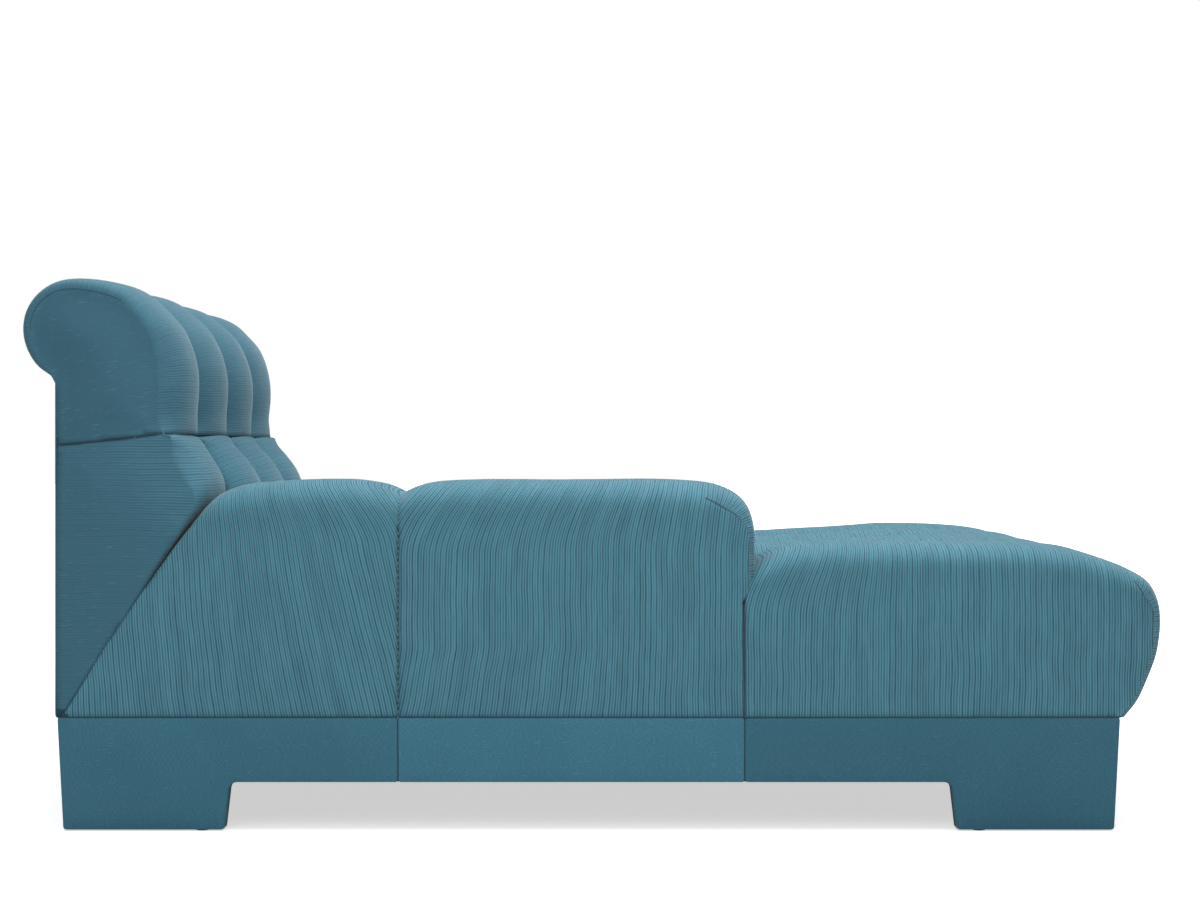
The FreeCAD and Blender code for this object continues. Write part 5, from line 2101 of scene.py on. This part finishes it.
@dataclass(frozen=True)
class Studio:
    """The pale floor, the soft light and the camera."""

    camera: tuple[float, float, float] = (0.0085, -3.444, 0.550)  # the camera's place
    lens: float = 61.9  # its focal length in millimetres
    floor_size: float = 60.0  # the length of the floor's side
    floor_lift: float = 0.60  # how much the camera sees the floor lightened in the middle
    far_lift: float = 0.9  # how much more it sees it lightened far out
    lift_reach: tuple[float, float] = (1.0, 2.6)  # how far out that starts, and how far out it is full
    sky: float = 0.28  # the strength of the light from all round
    # the lamps above and in front
    lamps: tuple[Lamp, ...] = (
        Lamp("overhead", (0.4, -0.2, 2.9), 0.0, (4.0, 3.2), 112.0),
        Lamp("front", (-0.3, -2.2, 1.7), 58.0, (1.6, 1.2), 12.5),
    )

    def build(self) -> None:
        """Build all of it."""
        self.place_camera()
        self.lay_floor()
        for lamp in self.lamps:
            lamp.hang()
        self.light_sky()
        bpy.context.scene.view_settings.view_transform = "Standard"

    def place_camera(self) -> None:
        """Place a level camera that looks along +Y."""
        data = bpy.data.cameras.new("studio_camera")
        data.lens = self.lens
        data.sensor_width = 36.0
        obj = add_object("studio_camera", data)
        obj.location = self.camera
        obj.rotation_euler = (math.radians(90), 0.0, 0.0)
        bpy.context.scene.camera = obj

    def lay_floor(self) -> None:
        """Lay the floor, which keeps the object's shadow."""
        half = self.floor_size / 2
        corners = [(-half, -half, 0), (half, -half, 0), (half, half, 0), (-half, half, 0)]
        floor = make_object("studio_floor", corners, [(0, 1, 2, 3)])
        material, s, shader = Shop.start(
            "studio_floor", 1.0,
            Base_Color=(0.8, 0.8, 0.8, 1.0), Specular_IOR_Level=0.0, Emission_Color=WHITE,
        )
        ray = s.add("ShaderNodeLightPath").outputs
        away = s.add("ShaderNodeVectorMath", {0: s.place()}, operation="LENGTH").outputs["Value"]
        lift = s.math("MULTIPLY_ADD", s.ramp(away, *self.lift_reach), self.far_lift, self.floor_lift)
        s.feed(shader.inputs["Emission Strength"], s.times(ray["Is Camera Ray"], lift))
        floor.data.materials.append(material)
        floor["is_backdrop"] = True

    def light_sky(self) -> None:
        """Light the object from all round, before a white background."""
        world = bpy.data.worlds.new("studio_world")
        bpy.context.scene.world = world
        world.use_nodes = True
        s = Sketch(world.node_tree)
        around = s.add("ShaderNodeBackground", {"Color": WHITE, "Strength": self.sky})
        seen = s.add("ShaderNodeBackground", {"Color": WHITE})
        ray = s.add("ShaderNodeLightPath").outputs
        share = s.math("MAXIMUM", ray["Is Camera Ray"], ray["Is Glossy Ray"])
        share = s.math("MAXIMUM", share, ray["Is Transmission Ray"])
        mix = s.add("ShaderNodeMixShader", {0: share, 1: around.outputs[0], 2: seen.outputs[0]})
        s.add("ShaderNodeOutputWorld", {0: mix.outputs[0]})


def sew(back: Back, seat: Seat, arm: Arm, plinth: Plinth, sewing: Sewing) -> None:
    """Lay the painted shadows of the seams, and the stitches that show.

    Args:
        back: the back's pads.
        seat: the seat's pads.
        arm: the arm's pads.
        plinth: the plinth's covers.
        sewing: lays the threads.
    """
    tier_z = back.frame.tuft_z + 0.004
    dots_end, roll_end, roll_z = -0.66, -0.68, 0.72
    for side, low, number in (("arm_side", True, CHANNELS[0]), ("open_side", False, CHANNELS[-1])):
        upper = back.pads[f"back_upper_channel_{number}"]
        crown = upper.crest_rows
        tier = upper.border(low, lambda p, i: i >= crown and p.z < tier_z, lift=0.0002)
        # a dark cord paints the shade in the seam between the tiers
        sewing.seam_shadow(f"tier_seam_{side}", [tier], radius=0.0007)
        dotted = [p for p in tier if p.x < dots_end]
        sewing.stitches(f"tier_stitches_{side}", dotted, Spacing=0.0075, Length=0.0045, Radius=0.0007)
        roll = upper.border(low, lambda p, i: i < crown and p.z > roll_z and p.x < roll_end)
        # dark cords paint the shade along the roll's edge and in the nose dart
        sewing.seam_shadow(f"roll_seam_shadow_{side}", [roll], radius=0.0004)
        sewing.seam_shadow(f"nose_seam_shadow_{side}", [seat.pads[number].dart_line(low)], radius=0.0005)
    front = arm.pads["front"]
    near = 0.004
    split = front.border(
        True, lambda p, i: i >= front.crest_rows and abs(p.x - arm.split_x) < near, lift=0.0006
    )
    sewing.stitches("arm_split_stitches", split, Spacing=0.0085, Length=0.005, Radius=0.0009)
    # dark cords paint the shade in the arm's dart, in the plinth's seams and under the padding
    sewing.seam_shadow("arm_dart_seam_shadow", [front.dart_line(True)], radius=0.0005)
    sewing.seam_shadow("plinth_seam_shadows", plinth.seam_lines(), radius=0.0012)


def main() -> None:
    """Build every sub-assembly in order."""
    logging.basicConfig(level=logging.INFO, format="%(message)s")
    places = Frame.read()
    Studio().build()
    shop = Shop()
    cloth = Upholstery().material(shop)
    plain = PlainCloth().material(shop)
    thread = Thread("upholstery_thread", srgb(96, 142, 158)).material(shop)
    # the dark cords that paint the shade in seams
    shadow = Thread("painted_seam_shadow", srgb(30, 58, 72)).material(shop)
    foam = Speckled("seat_foam", srgb(236, 226, 190), srgb(206, 192, 150), 420.0, 0.0006, 0.9).material(shop)
    felt = Speckled("dust_felt", srgb(44, 44, 46), srgb(24, 24, 26), 900.0, 0.0002, 0.95).material(shop)
    dress_frame(shop)
    back, seat, arm, plinth = Back(places), Seat(places), Arm(places), Plinth(places)
    for padding in (back, seat, arm):
        padding.build(cloth)
    plinth.build(plain)
    shell = Shell(places)
    shell.outside_back(plain)
    shell.foam_slab(foam)
    flat = shell.dust_cloth(felt)
    log.info("dust cloth: %.3f by %.3f m flat", *flat)
    sew(back, seat, arm, plinth, Sewing(thread, shadow))
    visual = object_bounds()
    boxes = {"cad": [list(corner) for corner in CAD_BOX], "visual": [list(corner) for corner in visual]}
    log.info("cad %s, visual %s", boxes["cad"], boxes["visual"])


if __name__ == "__main__":
    main()
